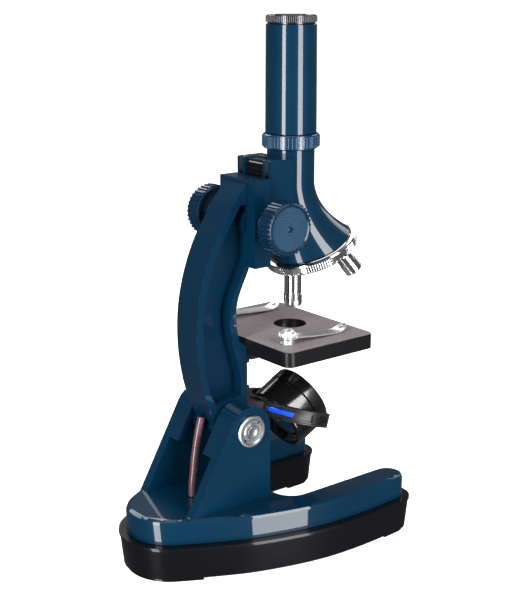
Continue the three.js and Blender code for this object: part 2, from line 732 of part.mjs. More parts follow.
// ---------------------------------------------------------------- lamp
// drawn along +Z, then leaned forward about X and set under the stage hole
function lampPlace(manifold) {
  return moved(manifold.rotate([THREE.MathUtils.radToDeg(LAMP_TILT), 0, 0]), 0, 0, LAMP_Z);
}

function lampHousing() {
  const r = LAMP_RADIUS;
  const shell = turned([
    [0, -7], [r - 3.2, -7], [r - 3.2, -LAMP_HALF], [r - 1, -LAMP_HALF], [r, -LAMP_HALF + 1.2],
    [r, BEZEL_FROM - GAP], [r - LAMP_WALL, BEZEL_FROM - GAP], [r - LAMP_WALL, -5], [0, -5],
  ]);
  const bosses = alongX(bar(3.6, -r - 3, r + 3, 16)).subtract(bar(r - 0.2, -60, 60));
  const pivots = alongX(bar(PIVOT_RADIUS + RUN, -40, 40, 14));
  const floorHole = bar(3.2 + GAP, -20, 0, 14);
  return lampPlace(join(shell, bosses).subtract(pivots).subtract(floorHole));
}

function lampBezel() {
  const r = LAMP_RADIUS;
  return lampPlace(turned([
    [r - LAMP_WALL - GAP, BEZEL_FROM - 1.4], [r - LAMP_WALL - GAP, BEZEL_FROM], [r + 0.25, BEZEL_FROM],
    [r + 0.1, LAMP_HALF - 1], [r - 0.8, LAMP_HALF], [r - 3, LAMP_HALF], [r - 3, LAMP_HALF - 1],
    [r - 3.4, BEZEL_FROM - 1.4], [r - LAMP_WALL - GAP, BEZEL_FROM - 1.4],
  ]));
}

function lampLens() {
  const r = LAMP_RADIUS - 3 - 2 * GAP;
  return lampPlace(turned([
    [0, LAMP_HALF - 3], [r - 1, LAMP_HALF - 3], [r - 0.2, LAMP_HALF - 2.2],
    [r - 0.2, LAMP_HALF - 1.6], [r * 0.6, LAMP_HALF - 0.9], [0, LAMP_HALF - 0.5],
  ]));
}

function lampMirror() {
  const r = LAMP_RADIUS - 3.2 - GAP;
  const profile = [[0, -7.7], [r * 0.6, -8], [r, -8.6], [r, -7 - GAP], [0, -7 - GAP]];
  return lampPlace(turned(profile));
}

function lampReflector() {
  const mouth = LAMP_RADIUS - 4.4;
  return lampPlace(turned([
    [4.2, -3.8], [5, -3.8], [9, -2.4], [mouth, 6.6], [mouth - 0.8, 6.6],
    [8.5, -1.6], [4.2, -2.8], [4.2, -3.8],
  ]));
}

function lampHolder() {
  const cup = [[0, -6.6], [3.2, -6.6], [3.2, -1.6], [2.2, -1.6], [2.2, -3.2], [0, -3.2]];
  return lampPlace(turned(cup, 16));
}

function lampBulb() {
  return lampPlace(turned([[0, -2.9], [1.9, -2.9], [1.9, 0.6], [1.4, 2], [0.6, 2.7], [0, 2.8]], 14));
}

// a band between two radii and two heights, cut to a box
function yokeBand(inner, outer, low, high, room) {
  return ring(inner, outer, low, high, 28).intersect(room);
}

// a half ring round the rear of the drum, its ends holding the pivots
function lampYoke() {
  const flat = YOKE_HEIGHT / 2;
  const rear = box(-60, 60, 0, 60, -20, 20);
  const band = yokeBand(YOKE_INNER, YOKE_OUTER, -flat, flat, rear);
  const block = box(YOKE_INNER - 0.6, YOKE_OUTER + YOKE_BLOCK, -5.4, 2, -flat, flat);
  const sunk = box(-60, 60, 5, YOKE_INNER, -20, 20);
  const channel = yokeBand(YOKE_OUTER - 1, YOKE_OUTER + 2, -flat + 2, flat - 2, sunk);
  const tail = box(-6.5, 6.5, YOKE_INNER + 1, ARM_FRONT - GAP + 2, -3, 3);
  const leaned = join(band, block, mirrored(block))
    .subtract(join(channel, inlayRoom(GAP)))
    .add(tail)
    .rotate([THREE.MathUtils.radToDeg(-YOKE_TILT), 0, 0]);
  const pivots = alongX(bar(PIVOT_RADIUS + RUN, -40, 40, 14));
  const footZ = YOKE_FOOT_Z - LAMP_Z;
  const footRear = ARM_FRONT - GAP;
  const footFront = footRear - YOKE_FOOT_THICK;
  const foot = box(-6.5, 6.5, footFront, footRear, footZ - 7, footZ + 7);
  const behind = box(-40, 40, footRear, 80, -50, 80);
  const hole = armHole(SMALL_SCREW + RUN, footFront - 20, ARM_FRONT, footZ);
  const headRoom = armHole(3.2, -20, footFront - GAP, footZ);
  const body = join(leaned, foot).subtract(join(behind, pivots, hole, headRoom));
  return moved(body, 0, 0, LAMP_Z);
}

// the window in the left arm of the yoke, and the blue inlay that fills it
function inlayRoom(clearance) {
  const flat = 1.3 + clearance;
  const room = box(-60, -9 + clearance, 15 - clearance, 60, -20, 20);
  return yokeBand(YOKE_OUTER - 2.6 - clearance, YOKE_OUTER + 2, -flat, flat, room);
}

function yokeInlay() {
  const whole = inlayRoom(0).intersect(bar(YOKE_OUTER - 0.7, -20, 20, 28));
  return moved(whole.rotate([THREE.MathUtils.radToDeg(-YOKE_TILT), 0, 0]), 0, 0, LAMP_Z);
}

function pivotScrew(side) {
  const head = YOKE_OUTER + YOKE_BLOCK + GAP;
  const body = screw(PIVOT_RADIUS, 2.6, 1.2, head + 1.2 - LAMP_RADIUS + 0.8).rotate([0, -90, 0]);
  const placed = moved(body, head + 1.2, 0, LAMP_Z);
  return side > 0 ? placed : mirrored(placed);
}

// ---------------------------------------------------------------- head
// turret frame: local -Z looks down and forward along the turret's axis
function turretPlace(manifold) {
  return moved(manifold.rotate([-THREE.MathUtils.radToDeg(TURRET_TILT), 0, 0]), 0, TURRET_Y, TURRET_Z);
}

// rings from the tube's neck to the open rim over the turret, all grown or shrunk by one amount
function bellRings(grow, overrun) {
  const lift = TURRET_RIM / 2 + 0.9 - overrun;
  const endY = TURRET_Y + lift * Math.sin(TURRET_TILT);
  const endZ = TURRET_Z + lift * Math.cos(TURRET_TILT);
  const rings = [];
  const steps = 9;
  for (let i = 0; i <= steps; i += 1) {
    const t = i / steps;
    rings.push({
      y: endY * t ** 1.7,
      height: BELL_TOP + (endZ - BELL_TOP) * t,
      radius: grow + LOWER_TUBE_RADIUS + (BELL_RADIUS - LOWER_TUBE_RADIUS) * t ** 1.9,
      tilt: TURRET_TILT * t,
    });
  }
  return rings;
}

function headCasting() {
  const neckRing = { y: 0, height: COLLAR_BOTTOM - GAP, radius: LOWER_TUBE_RADIUS, tilt: 0 };
  const bell = loft([neckRing, ...bellRings(0, 0)], ROUND);
  const hollow = loft(bellRings(-BELL_WALL, 0.6), ROUND);
  const low = TURRET_RIM / 2 + 0.9;
  const boss = bar(4.5, low, 26, 14);
  const rib = box(-1.5, 1.5, -30, 0, low, 26);
  const pinBoss = turretPlace(boss.add(rib)).intersect(bell);
  const body = box(-CARRIAGE_HALF, CARRIAGE_HALF, 2, CARRIAGE_REAR, CARRIAGE_BOTTOM, CARRIAGE_TOP);
  const spigot = bar(SPIGOT_RADIUS, CARRIAGE_TOP - 2, COLLAR_TOP + 6);
  const lightPath = bar(9, TURRET_Z - 2, COLLAR_TOP + 20);
  const rackHalf = RACK_HALF + GAP;
  const rackRoom = box(-rackHalf, rackHalf, 16, 40, CARRIAGE_BOTTOM - 1, CARRIAGE_TOP + 1);
  const groove = polygon([[-1.3, 3], [-1.3, -1.4], [-2.1, -3], [2.1, -3], [1.3, -1.4], [1.3, 3]]);
  const slot = plate(groove, CARRIAGE_BOTTOM - 1, CARRIAGE_TOP + 1);
  const slots = join(moved(slot, RAIL_X, BLOCK_FRONT, 0), moved(slot, -RAIL_X, BLOCK_FRONT, 0));
  const screwRoom = turretPlace(bar(2 + RUN, -40, 9, 12));
  return join(bell, body, spigot)
    .subtract(hollow)
    .add(pinBoss)
    .subtract(join(lightPath, screwRoom))
    .subtract(join(rackRoom, slots));
}

function rack() {
  const back = 16 + GAP;
  const pitch = Math.PI * MODULE;
  const root = RACK_LINE - DEDENDUM;
  const tip = RACK_LINE + ADDENDUM;
  const slope = Math.tan(PRESSURE);
  const halfAtLine = pitch / 4 - BACKLASH / 4;
  const from = CARRIAGE_BOTTOM + 0.5;
  const to = CARRIAGE_TOP - 0.8;
  const points = [[back, from], [root, from]];
  // a gap of the rack is centred on the shaft's height, where a pinion tooth points
  const first = Math.ceil((from + 1.4 - FOCUS_Z) / pitch - 0.5);
  const last = Math.floor((to - 1.4 - FOCUS_Z) / pitch - 0.5);
  for (let i = first; i <= last; i += 1) {
    const middle = FOCUS_Z + (i + 0.5) * pitch;
    points.push([root, middle - halfAtLine - DEDENDUM * slope]);
    points.push([tip, middle - halfAtLine + ADDENDUM * slope]);
    points.push([tip, middle + halfAtLine - ADDENDUM * slope]);
    points.push([root, middle + halfAtLine + DEDENDUM * slope]);
  }
  points.push([root, to], [back, to]);
  return sidePlate(polygon(points), -RACK_HALF, RACK_HALF);
}

// ---------------------------------------------------------------- eyepiece tube
function zoomCollar() {
  const ribs = fluted(COLLAR_RADIUS, 0.6, 18, COLLAR_BOTTOM + 0.6, COLLAR_TOP - 0.6);
  const rim = bar(COLLAR_RADIUS - 0.5, COLLAR_BOTTOM, COLLAR_TOP, ROUND);
  const bore = bar(SPIGOT_RADIUS + RUN, 0, 400);
  return join(ribs, rim).subtract(bore);
}

function upperTube() {
  const from = COLLAR_TOP + GAP;
  const wide = TUBE_RADIUS_LOW - TUBE_WALL;
  const narrow = TUBE_RADIUS_TOP - TUBE_WALL;
  return turned([
    [wide, from], [TUBE_RADIUS_LOW, from], [TUBE_RADIUS_TOP, TUBE_TOP],
    [narrow, TUBE_TOP], [narrow, from + 9], [wide, from + 8], [wide, from],
  ]);
}

function eyepieceCap() {
  const top = OVERALL_HEIGHT;
  const ribs = fluted(CAP_RADIUS, 0.5, 18, TUBE_TOP + 0.9, top - 0.5);
  const disc = bar(CAP_RADIUS - 0.6, TUBE_TOP + GAP, top);
  const skirtTube = bar(TUBE_RADIUS_TOP - TUBE_WALL - GAP, TUBE_TOP - 12, TUBE_TOP + 1);
  const eye = turned([[0, 200], [5.5, 200], [5.5, top - 2.5], [9.5, top + 0.5], [0, top + 0.5]]);
  const lensRoom = bar(EYE_LENS_RADIUS + GAP, 200, top - 4);
  return join(ribs, disc, skirtTube).subtract(join(lensRoom, eye));
}

function eyeLens() {
  const r = EYE_LENS_RADIUS;
  const top = OVERALL_HEIGHT - 4.4;
  return turned([[0, top - 4], [4, top - 3.6], [r, top - 2], [r, top], [0, top]]);
}

function zoomCell() {
  const r = TUBE_RADIUS_TOP - TUBE_WALL - RUN - 0.2;
  const z = ZOOM_CELL_Z;
  return turned([[5.6, z], [r, z], [r, z + 7], [7, z + 7], [7, z + 1.2], [5.6, z + 1.2], [5.6, z]]);
}

function zoomLens() {
  const z = ZOOM_CELL_Z + 1.2 + GAP;
  return turned([[0, z], [6.6, z], [6.6, z + 1.6], [3.4, z + 2.6], [0, z + 2.9]]);
}

// ---------------------------------------------------------------- turret
function turretDisc() {
  const half = TURRET_RIM / 2;
  const r = TURRET_RADIUS;
  const disc = turned([
    [0, -half + 1.2], [8, -half + 0.6], [r - 1.5, -half + 1], [r - 1.5, -GAP], [r - 3, -GAP],
    [r - 3, half - 0.4], [r - 4.4, half + 0.2], [0, half + 0.2],
  ]);
  const holes = [0, 1, 2].map((i) => onTurret(bar(OBJECTIVE_RADIUS - 1 + GAP, -60, 20, 16), i));
  const pinHole = bar(2 + RUN, -20, 20, 12);
  return turretPlace(disc.subtract(join(pinHole, ...holes)));
}

function turretRing() {
  const half = TURRET_RIM / 2;
  const r = TURRET_RADIUS;
  const body = join(bar(r - 0.6, -half, half), fluted(r, 0.7, 20, -half + 0.8, half - 0.8));
  const bore = join(bar(r - 3 + GAP, -20, 20), bar(r - 1.5 + GAP, -20, 0));
  return turretPlace(body.subtract(bore));
}

function turretPin() {
  const low = -TURRET_RIM / 2 + 0.6;
  const head = [[0, low - 2.2], [2.4, low - 2.2], [3.6, low - 1.2], [3.6, low - GAP]];
  return turretPlace(turned([...head, [2, low - GAP], [2, 8.6], [0, 8.6]], 14));
}

// objectives splay by the turret's tilt, so the one in use stands upright on the tube's axis
const OBJECTIVE_RING = (OBJECTIVE_Y - TURRET_Y) / Math.cos(TURRET_TILT);
const SEAT = -TURRET_RIM / 2 - 1.2;

function onTurret(manifold, index) {
  const upright = manifold.rotate([THREE.MathUtils.radToDeg(TURRET_TILT), 0, 0]);
  return moved(upright, 0, OBJECTIVE_RING, 0).rotate([0, 0, 120 * index]);
}

// a hollow barrel whose shoulder rests under the turret disc, its tip down the local -Z
function objective(index) {
  const length = OBJECTIVE_LENGTHS[index];
  const r = OBJECTIVE_RADIUS;
  const profile = [
    [2, -length], [r - 1.6, -length], [r - 0.5, -length + 1.6], [r - 0.5, -length + 4.6],
    [r, -length + 5.2],
    [r, SEAT - 1.4], [r - 0.5, SEAT - 1], [r - 0.5, SEAT - GAP], [r - 1, SEAT - GAP],
    [r - 1, 2.2], [r - 2.2, 2.2], [r - 2.2, -length + 3], [2, -length + 2], [2, -length],
  ];
  return turretPlace(onTurret(turned(profile, 14), index));
}

function objectiveLens(index) {
  const z = -OBJECTIVE_LENGTHS[index] + 3.4;
  const r = OBJECTIVE_RADIUS - 2.2 - GAP;
  const lens = turned([[0, z], [r, z], [r, z + 1.2], [0, z + 1.6]], 14);
  return turretPlace(onTurret(lens, index));
}

// ---------------------------------------------------------------- lead
function lead() {
  const points = LEAD_ROUTE.map(([y, z]) => new THREE.Vector3(0, y, z));
  const sides = 10;
  const corners = [];
  for (let i = 0; i < sides; i += 1) {
    corners.push([LEAD_RADIUS, (2 * Math.PI * i) / sides]);
  }
  const section = polygon(corners.map(polar));
  const geometry = new THREE.ExtrudeGeometry(section, {
    steps: 10,
    extrudePath: new THREE.CatmullRomCurve3(points),
    bevelEnabled: false,
  });
  return solid(geometry);
}

// ---------------------------------------------------------------- assembly
add('base_skirt', skirt(), 'black');
add('base_casting', casting(), 'blue');
add('battery_cover', batteryCover(), 'black');
const COVER_SCREW_Z = FOOT_HEIGHT - 1 - GAP;
add('battery_cover_screw', moved(screw(1.5, 2.6, 1, 4.5), 0, BAY.front + 6, COVER_SCREW_Z), 'steel');
SCREW_SPOTS.forEach(([x, y], i) => {
  add(`base_screw_${i + 1}`, moved(screw(1.5, 3, 1.4, 11), x, y, FOOT_HEIGHT - 1.6), 'steel');
});
const BATTERY_Y = (BAY.front + BAY.rear) / 2;
for (const [side, name] of [[-1, 'left'], [1, 'right']]) {
  const cell = battery().rotate([side * 90, 0, 0]);
  add(`battery_${name}`, moved(cell, side * BATTERY_X, BATTERY_Y, BATTERY_Z), 'battery');
}
const CELL_END = BATTERY_LENGTH / 2 + 1.2 + GAP;
add('contact_front', contactStrip(BATTERY_Y - CELL_END, false), 'steel');
add('contact_rear', contactStrip(BATTERY_Y + CELL_END, true), 'steel');
add('hinge_bolt', hingeBolt(), 'steel');
add('hinge_nut_left', hingeNut(-1), 'chrome');
add('hinge_nut_right', hingeNut(1), 'chrome');

add('arm_casting', armCasting(), 'blue');
for (const [side, name] of [[-1, 'left'], [1, 'right']]) {
  add(`focus_knob_${name}`, knob(side), 'knobBlue');
  add(`stage_screw_${name}`, stageScrew(side), 'steel');
  add(`clip_post_${name}`, clipPost(side), 'chrome');
  add(`clip_nut_${name}`, clipNut(side), 'chrome');
  add(`stage_clip_${name}`, stageClip(side), 'chrome');
  add(`lamp_pivot_${name}`, pivotScrew(side), 'black');
}
add('pinion_shaft', pinionShaft(), 'steel');
add('stage_plate', stagePlate(), 'stageBlack');
add('stage_bracket', stageBracket(), 'black');
add('bracket_screw', armScrew(BRACKET_Z, SHELF_THICK), 'steel');
add('lamp_yoke', lampYoke(), 'black');
add('yoke_inlay', yokeInlay(), 'clearBlue');
add('yoke_screw', armScrew(YOKE_FOOT_Z, YOKE_FOOT_THICK), 'steel');

add('lamp_housing', lampHousing(), 'black');
add('lamp_bezel', lampBezel(), 'black');
add('lamp_lens', lampLens(), 'white');
add('lamp_mirror', lampMirror(), 'mirror');
add('lamp_reflector', lampReflector(), 'mirror');
add('lamp_holder', lampHolder(), 'black');
add('lamp_bulb', lampBulb(), 'glass');

add('head_casting', headCasting(), 'blue');
add('focus_rack', rack(), 'black');
add('upper_tube', upperTube(), 'blue');
add('eyepiece_cap', eyepieceCap(), 'black');
add('eye_lens', eyeLens(), 'glass');
add('zoom_collar', zoomCollar(), 'blue');
add('zoom_cell', zoomCell(), 'black');
add('zoom_lens', zoomLens(), 'glass');
add('turret_disc', turretDisc(), 'chrome');
add('turret_ring', turretRing(), 'chrome');
add('turret_pin', turretPin(), 'chrome');
['upright', 'left', 'right'].forEach((name, i) => {
  add(`objective_${name}`, objective(i), 'chrome');
  add(`objective_lens_${name}`, objectiveLens(i), 'glass');
});
add('lamp_lead', lead(), 'lead');

// the part's origin is under the middle of the base
model.position.y = -(BASE_REAR + BASE_FRONT) / 2;

const microscope = new THREE.Group();
microscope.add(model);

export default microscope;
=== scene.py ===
# %% [markdown]
# # A student microscope, modelled and finished
# The frame brings the working parts: castings, shafts, rack, turret and lamp, each on its own
# body. This lesson keeps what is hidden, and models again what shows, with rounder forms,
# knurls, rounded edges and painted, plated and moulded finishes.

import json
import math

import bpy
from mathutils import Matrix, Vector

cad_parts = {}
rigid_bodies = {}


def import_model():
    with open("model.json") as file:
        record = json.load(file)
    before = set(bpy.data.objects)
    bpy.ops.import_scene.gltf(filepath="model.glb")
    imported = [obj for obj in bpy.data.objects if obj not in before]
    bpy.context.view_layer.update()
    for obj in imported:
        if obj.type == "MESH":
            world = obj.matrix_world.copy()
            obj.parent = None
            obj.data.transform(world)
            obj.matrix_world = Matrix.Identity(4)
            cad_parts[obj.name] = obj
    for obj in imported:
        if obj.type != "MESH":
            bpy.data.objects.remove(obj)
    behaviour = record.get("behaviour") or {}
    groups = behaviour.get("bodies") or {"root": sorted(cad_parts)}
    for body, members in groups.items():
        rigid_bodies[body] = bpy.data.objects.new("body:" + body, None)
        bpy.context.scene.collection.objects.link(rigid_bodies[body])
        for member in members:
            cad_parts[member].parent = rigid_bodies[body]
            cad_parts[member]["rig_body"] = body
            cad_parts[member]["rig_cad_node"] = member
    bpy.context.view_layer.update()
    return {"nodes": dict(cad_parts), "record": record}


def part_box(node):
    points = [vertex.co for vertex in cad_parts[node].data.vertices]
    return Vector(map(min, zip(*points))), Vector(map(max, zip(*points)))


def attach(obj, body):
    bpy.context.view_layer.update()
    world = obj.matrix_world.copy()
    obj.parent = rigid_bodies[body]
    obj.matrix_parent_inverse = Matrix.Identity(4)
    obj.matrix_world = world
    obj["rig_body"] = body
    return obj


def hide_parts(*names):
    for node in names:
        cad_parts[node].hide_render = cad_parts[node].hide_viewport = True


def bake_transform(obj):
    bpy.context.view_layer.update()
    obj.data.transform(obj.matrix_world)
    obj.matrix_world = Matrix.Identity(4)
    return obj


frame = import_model()
MM = 0.001


# %% [markdown]
# ## Camera
# The microscope is seen from behind its left shoulder, a little from above, with a long lens.
# A camera could be aimed with a constraint, but plain numbers keep it still in every pose.

# %% Place the camera
HEADING = math.radians(231.507)
PITCH = math.radians(15.272)
CAMERA_PLACE = (-0.49812, 0.38354, 0.30830)
LENS = 72.97
SENSOR_WIDTH = 36
NEAREST_SEEN = 0.05

camera_data = bpy.data.cameras.new("camera")
camera_data.lens = LENS
camera_data.sensor_width = SENSOR_WIDTH
camera_data.clip_start = NEAREST_SEEN
camera = bpy.data.objects.new("camera", camera_data)
camera.location = CAMERA_PLACE
camera.rotation_euler = (math.pi / 2 - PITCH, 0, HEADING)
bpy.context.scene.collection.objects.link(camera)
bpy.context.scene.camera = camera
print("camera stands", round(camera.location.length, 3), "m from the origin")


# %% [markdown]
# ## The lead
# A soft two-core lead carries current from the cells in the base up into the arm. It leaves a
# hole in the tail of the arm and drops into the base between the ears. It is drawn as a curve,
# which becomes a mesh.

# %% Set out the lead's route
LEAD_DIAMETER = 4.2 * MM
LEAD_STEPS = 4
LEAD_ROUTE = [
    (0, 0.0311, 0.0772),
    (0, 0.0326, 0.0720),
    (0, 0.0342, 0.0650),
    (0, 0.0357, 0.0565),
    (0, 0.0369, 0.0470),
    (0, 0.0377, 0.0400),
    (0, 0.0380, 0.0339),
]
print("lead runs from", LEAD_ROUTE[0], "to", LEAD_ROUTE[-1])


# %% Select one piece at a time
def deselect():
    """Leaves edit mode and selects nothing, so that an operator acts on the next piece only."""
    if bpy.context.object and bpy.context.object.mode != "OBJECT":
        bpy.ops.object.mode_set(mode="OBJECT")
    bpy.ops.object.select_all(action="DESELECT")


def pick(piece):
    """Selects one piece and makes it the active one."""
    deselect()
    piece.select_set(True)
    bpy.context.view_layer.objects.active = piece


# %% Draw a smooth line through the route
def smooth_route(points, steps):
    """A Catmull-Rom line through the points, with a number of steps between each two."""
    known = [Vector(p) for p in points]
    padded = [2 * known[0] - known[1], *known, 2 * known[-1] - known[-2]]
    route = []
    for a, b, c, d in zip(padded, padded[1:], padded[2:], padded[3:]):
        for i in range(steps):
            t = i / steps
            route.append(
                0.5 * (2 * b + (c - a) * t + (2 * a - 5 * b + 4 * c - d) * t**2
                       + (3 * b - a - 3 * c + d) * t**3)
            )
    return [*route, known[-1]]


def route_length(points):
    """The length of a line, from each of its points to the next."""
    return sum((b - a).length for a, b in zip(points, points[1:]))


lead_line = smooth_route(LEAD_ROUTE, LEAD_STEPS)
LEAD_LENGTH = route_length(lead_line)
print("lead length", round(LEAD_LENGTH, 4), "m in", len(lead_line), "points")


# %% Lay the lead
SHADE_DEGREES = 40

lead_curve = bpy.data.curves.new("lead", "CURVE")
lead_curve.dimensions = "3D"
lead_curve.bevel_depth = LEAD_DIAMETER / 2
lead_curve.bevel_resolution = 8
lead_curve.use_fill_caps = True
spline = lead_curve.splines.new("POLY")
spline.points.add(len(lead_line) - 1)
for point, place in zip(spline.points, lead_line):
    point.co = (*place, 1)
lead = bpy.data.objects.new("lead", lead_curve)
bpy.context.scene.collection.objects.link(lead)
pick(lead)
bpy.ops.object.convert(target="MESH")
bpy.ops.object.shade_smooth_by_angle(angle=math.radians(SHADE_DEGREES))
lead = bpy.context.object
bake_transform(lead)
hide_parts("lamp_lead")
print("lead has", len(lead.data.polygons), "faces")


# %% [markdown]
# ## Floor
# The microscope stands on one very large pale sheet, so that no edge of it ever shows. It is
# hidden from reflections, bounced light and shadows: otherwise gloss paint would mirror it and
# every underside would turn grey.

# %% Lay the floor
FLOOR_SIZE = 60
FLOOR_DROP = 0.2 * MM

bpy.ops.mesh.primitive_plane_add(size=FLOOR_SIZE, location=(0, 0, -FLOOR_DROP))
floor = bpy.context.object
floor.name = "floor"
floor.visible_glossy = False
floor.visible_diffuse = False
floor.visible_shadow = False
print("floor", FLOOR_SIZE, "m across")


# %% [markdown]
# ## Lights
# Gloss paint and chrome need tall narrow lights: two strips beside the camera draw the long
# bright lines down the tube. Two more hang below floor level, for the faces that lean down. Two
# from behind and one overhead soften the rest.

# %% Hang the lights
AIM_HEIGHT = 0.2
towards_camera = Vector((math.sin(HEADING), -math.cos(HEADING), 0))
to_the_right = Vector((math.cos(HEADING), math.sin(HEADING), 0))


def aside(degrees):
    """A level direction, so many degrees to the right of the camera."""
    turn = math.radians(degrees)
    return towards_camera * math.cos(turn) + to_the_right * math.sin(turn)


def soft_box(name, degrees, distance, height, size, power, level):
    """A rectangular light beside the tube, which faces it, or stands upright if it is level."""
    data = bpy.data.lights.new(name, "AREA")
    data.shape = "RECTANGLE"
    data.size, data.size_y = size
    data.energy = power
    light = bpy.data.objects.new(name, data)
    place = aside(degrees) * distance + Vector((0, 0, height))
    light.location = place
    aim = Vector((0, 0, AIM_HEIGHT)) - place
    if level:
        aim.z = 0
    light.rotation_euler = aim.to_track_quat("-Z", "Y").to_euler()
    bpy.context.scene.collection.objects.link(light)


# Name, degrees to the right of the camera, distance, height, width and length, power, level.
LIGHTS = [
    ("strip_right", 42, 1.3, 0.68, (0.5, 1.76), 36, True),
    ("strip_left", -33, 1.3, 0.68, (0.36, 1.76), 34, True),
    ("low_right", 42, 1.3, -0.48, (0.5, 0.55), 8, True),
    ("low_left", -33, 1.3, -0.48, (0.36, 0.55), 7, True),
    ("back_right", 140, 1.6, 0.9, (0.6, 1.0), 4, False),
    ("back_high", -159, 1.6, 1.35, (1.3, 0.8), 13, False),
    ("overhead", 0, 0, 2.2, (2.4, 2.4), 20, False),
]
for row in LIGHTS:
    soft_box(*row)
print(len(LIGHTS), "lights hang")


# %% [markdown]
# ## Surroundings
# The camera sees a nearly white surround, while the object gets only a tenth of its light, so
# that blacks stay black. A Light Path node tells the two apart.

# %% Dim the surroundings for all but the camera
SURROUND_LIGHT = 0.1

world = bpy.data.worlds.new("studio")
bpy.context.scene.world = world
world.use_nodes = True
backdrop = world.node_tree.nodes["Background"]
backdrop.inputs["Color"].default_value = (0.96, 0.98, 1, 1)
seen = world.node_tree.nodes.new("ShaderNodeLightPath")
glow = world.node_tree.nodes.new("ShaderNodeMath")
glow.operation = "MAXIMUM"
glow.inputs[1].default_value = SURROUND_LIGHT
world.node_tree.links.new(seen.outputs["Is Camera Ray"], glow.inputs[0])
world.node_tree.links.new(glow.outputs[0], backdrop.inputs["Strength"])
bpy.context.scene.view_settings.view_transform = "Standard"
print("surround lights at", SURROUND_LIGHT)


# %% [markdown]
# ## How the finishes are written
# Shader maths reads best as sums and products. One small class wraps a socket, so that
# `noise * 0.2 + 0.1` adds its own Math nodes, and one method adds any other node.

# %% Wrap a socket
class Value:
    """One output in a material, which can be added, multiplied and raised to a power."""

    def __init__(self, finish, socket):
        self.finish = finish
        self.socket = socket

    def maths(self, operation, first, second, clamp=False):
        """One Math node on two values."""
        settings = {"operation": operation, "use_clamp": clamp}
        return self.finish.node("ShaderNodeMath", settings, {0: first, 1: second})

    def __add__(self, other):
        return self.maths("ADD", self, other)

    __radd__ = __add__

    def __sub__(self, other):
        return self.maths("SUBTRACT", self, other)

    def __rsub__(self, other):
        return self.maths("SUBTRACT", other, self)

    def __mul__(self, other):
        return self.maths("MULTIPLY", self, other)

    __rmul__ = __mul__

    def __truediv__(self, other):
        return self.maths("DIVIDE", self, other)

    def __pow__(self, other):
        return self.maths("POWER", self, other)

    def held(self):
        """Kept between 0 and 1."""
        return self.maths("ADD", self, 0, clamp=True)

    def over(self, edge, width):
        """0 below an edge and 1 above it, with a soft step of some width."""
        return ((self - edge) / width + 0.5).held()


class Finish:
    """A material that grows node by node, ending in one Principled shader."""

    def __init__(self, name):
        self.material = bpy.data.materials.new(name)
        self.material.use_nodes = True
        self.tree = self.material.node_tree
        self.shader = self.tree.nodes["Principled BSDF"]

    def node(self, kind, settings=None, inputs=None, output=0):
        """Any node: its type, its settings, its sockets' values or links, and which output."""
        made = self.tree.nodes.new(kind)
        for key, value in (settings or {}).items():
            setattr(made, key, value)
        for key, value in (inputs or {}).items():
            if isinstance(value, Value):
                self.tree.links.new(value.socket, made.inputs[key])
            else:
                made.inputs[key].default_value = value
        return Value(self, made.outputs[output])

    def place(self, centre=(0, 0, 0), scale=(1, 1, 1)):
        """Object coordinates, counted from a centre and scaled."""
        here = self.node("ShaderNodeTexCoord", output="Object")
        moved = self.node("ShaderNodeVectorMath", {"operation": "SUBTRACT"},
                          {0: here, 1: centre})
        return self.node("ShaderNodeMapping", {}, {"Vector": moved, "Scale": scale})

    def noise(self, vector, scale, detail, roughness=0.5):
        """Soft noise, 0 to 1, whose scale counts its cells in a metre."""
        return self.node("ShaderNodeTexNoise", {}, {
            "Vector": vector, "Scale": scale, "Detail": detail, "Roughness": roughness})

    def mix(self, factor, first, second):
        """The first colour where the factor is 0 and the second where it is 1."""
        return self.node("ShaderNodeMix", {"data_type": "RGBA"},
                         {0: factor, 6: first, 7: second}, output=2)

    def parts(self, vector):
        """The X, Y and Z of a vector as three values."""
        split = self.node("ShaderNodeSeparateXYZ", {}, {0: vector})
        node = split.socket.node
        return [Value(self, node.outputs[i]) for i in range(3)]

    def bump(self, height, depth):
        """Feeds a height, in shares of a depth in metres, to the shader's normal."""
        self.set(Normal=self.node("ShaderNodeBump", {}, {"Height": height, "Distance": depth}))

    def set(self, **sockets):
        """Links or sets the shader's sockets, some of them by a shorter name."""
        names = {"Base": "Base Color", "Coat": "Coat Weight", "CoatRoughness": "Coat Roughness",
                 "Specular": "Specular IOR Level", "Transmission": "Transmission Weight"}
        for key, value in sockets.items():
            target = self.shader.inputs[names.get(key, key)]
            if isinstance(value, Value):
                self.tree.links.new(value.socket, target)
            else:
                target.default_value = value


def colour(red, green, blue):
    """A paint-chart colour, 0 to 255, as the linear colour that a shader takes."""
    def linear(c):
        c /= 255
        return c / 12.92 if c <= 0.04045 else ((c + 0.055) / 1.055) ** 2.4
    return (linear(red), linear(green), linear(blue), 1)


# %% [markdown]
# ## Petrol-blue enamel
# Die castings are rubbed down, sprayed and stoved. The paint is deep and glossy, with a faint
# orange peel, slightly thicker and darker in places. A coat layer over a coloured base gives
# the sharp reflections, and two scales of noise give the peel and the drift in depth.

# %% Mix the enamel
def enamel(name, light, deep, peel):
    """Stoved paint in two shades of a colour, with an orange peel of some depth."""
    finish = Finish(name)
    here = finish.place()
    drift = finish.noise(here, scale=14, detail=3)
    dust = finish.noise(here, scale=900, detail=2)
    base = finish.mix(drift.over(edge=0.5, width=0.5), deep, light)
    finish.set(Base=base, Roughness=dust * 0.08 + 0.3, Specular=0.04, Coat=0.8,
               CoatRoughness=0.03)
    finish.bump(finish.noise(here, scale=420, detail=2), peel)
    return finish.material


blue_enamel = enamel("blue_enamel", colour(3, 38, 59), colour(2, 30, 50), peel=0.006 * MM)
print("mixed", blue_enamel.name)


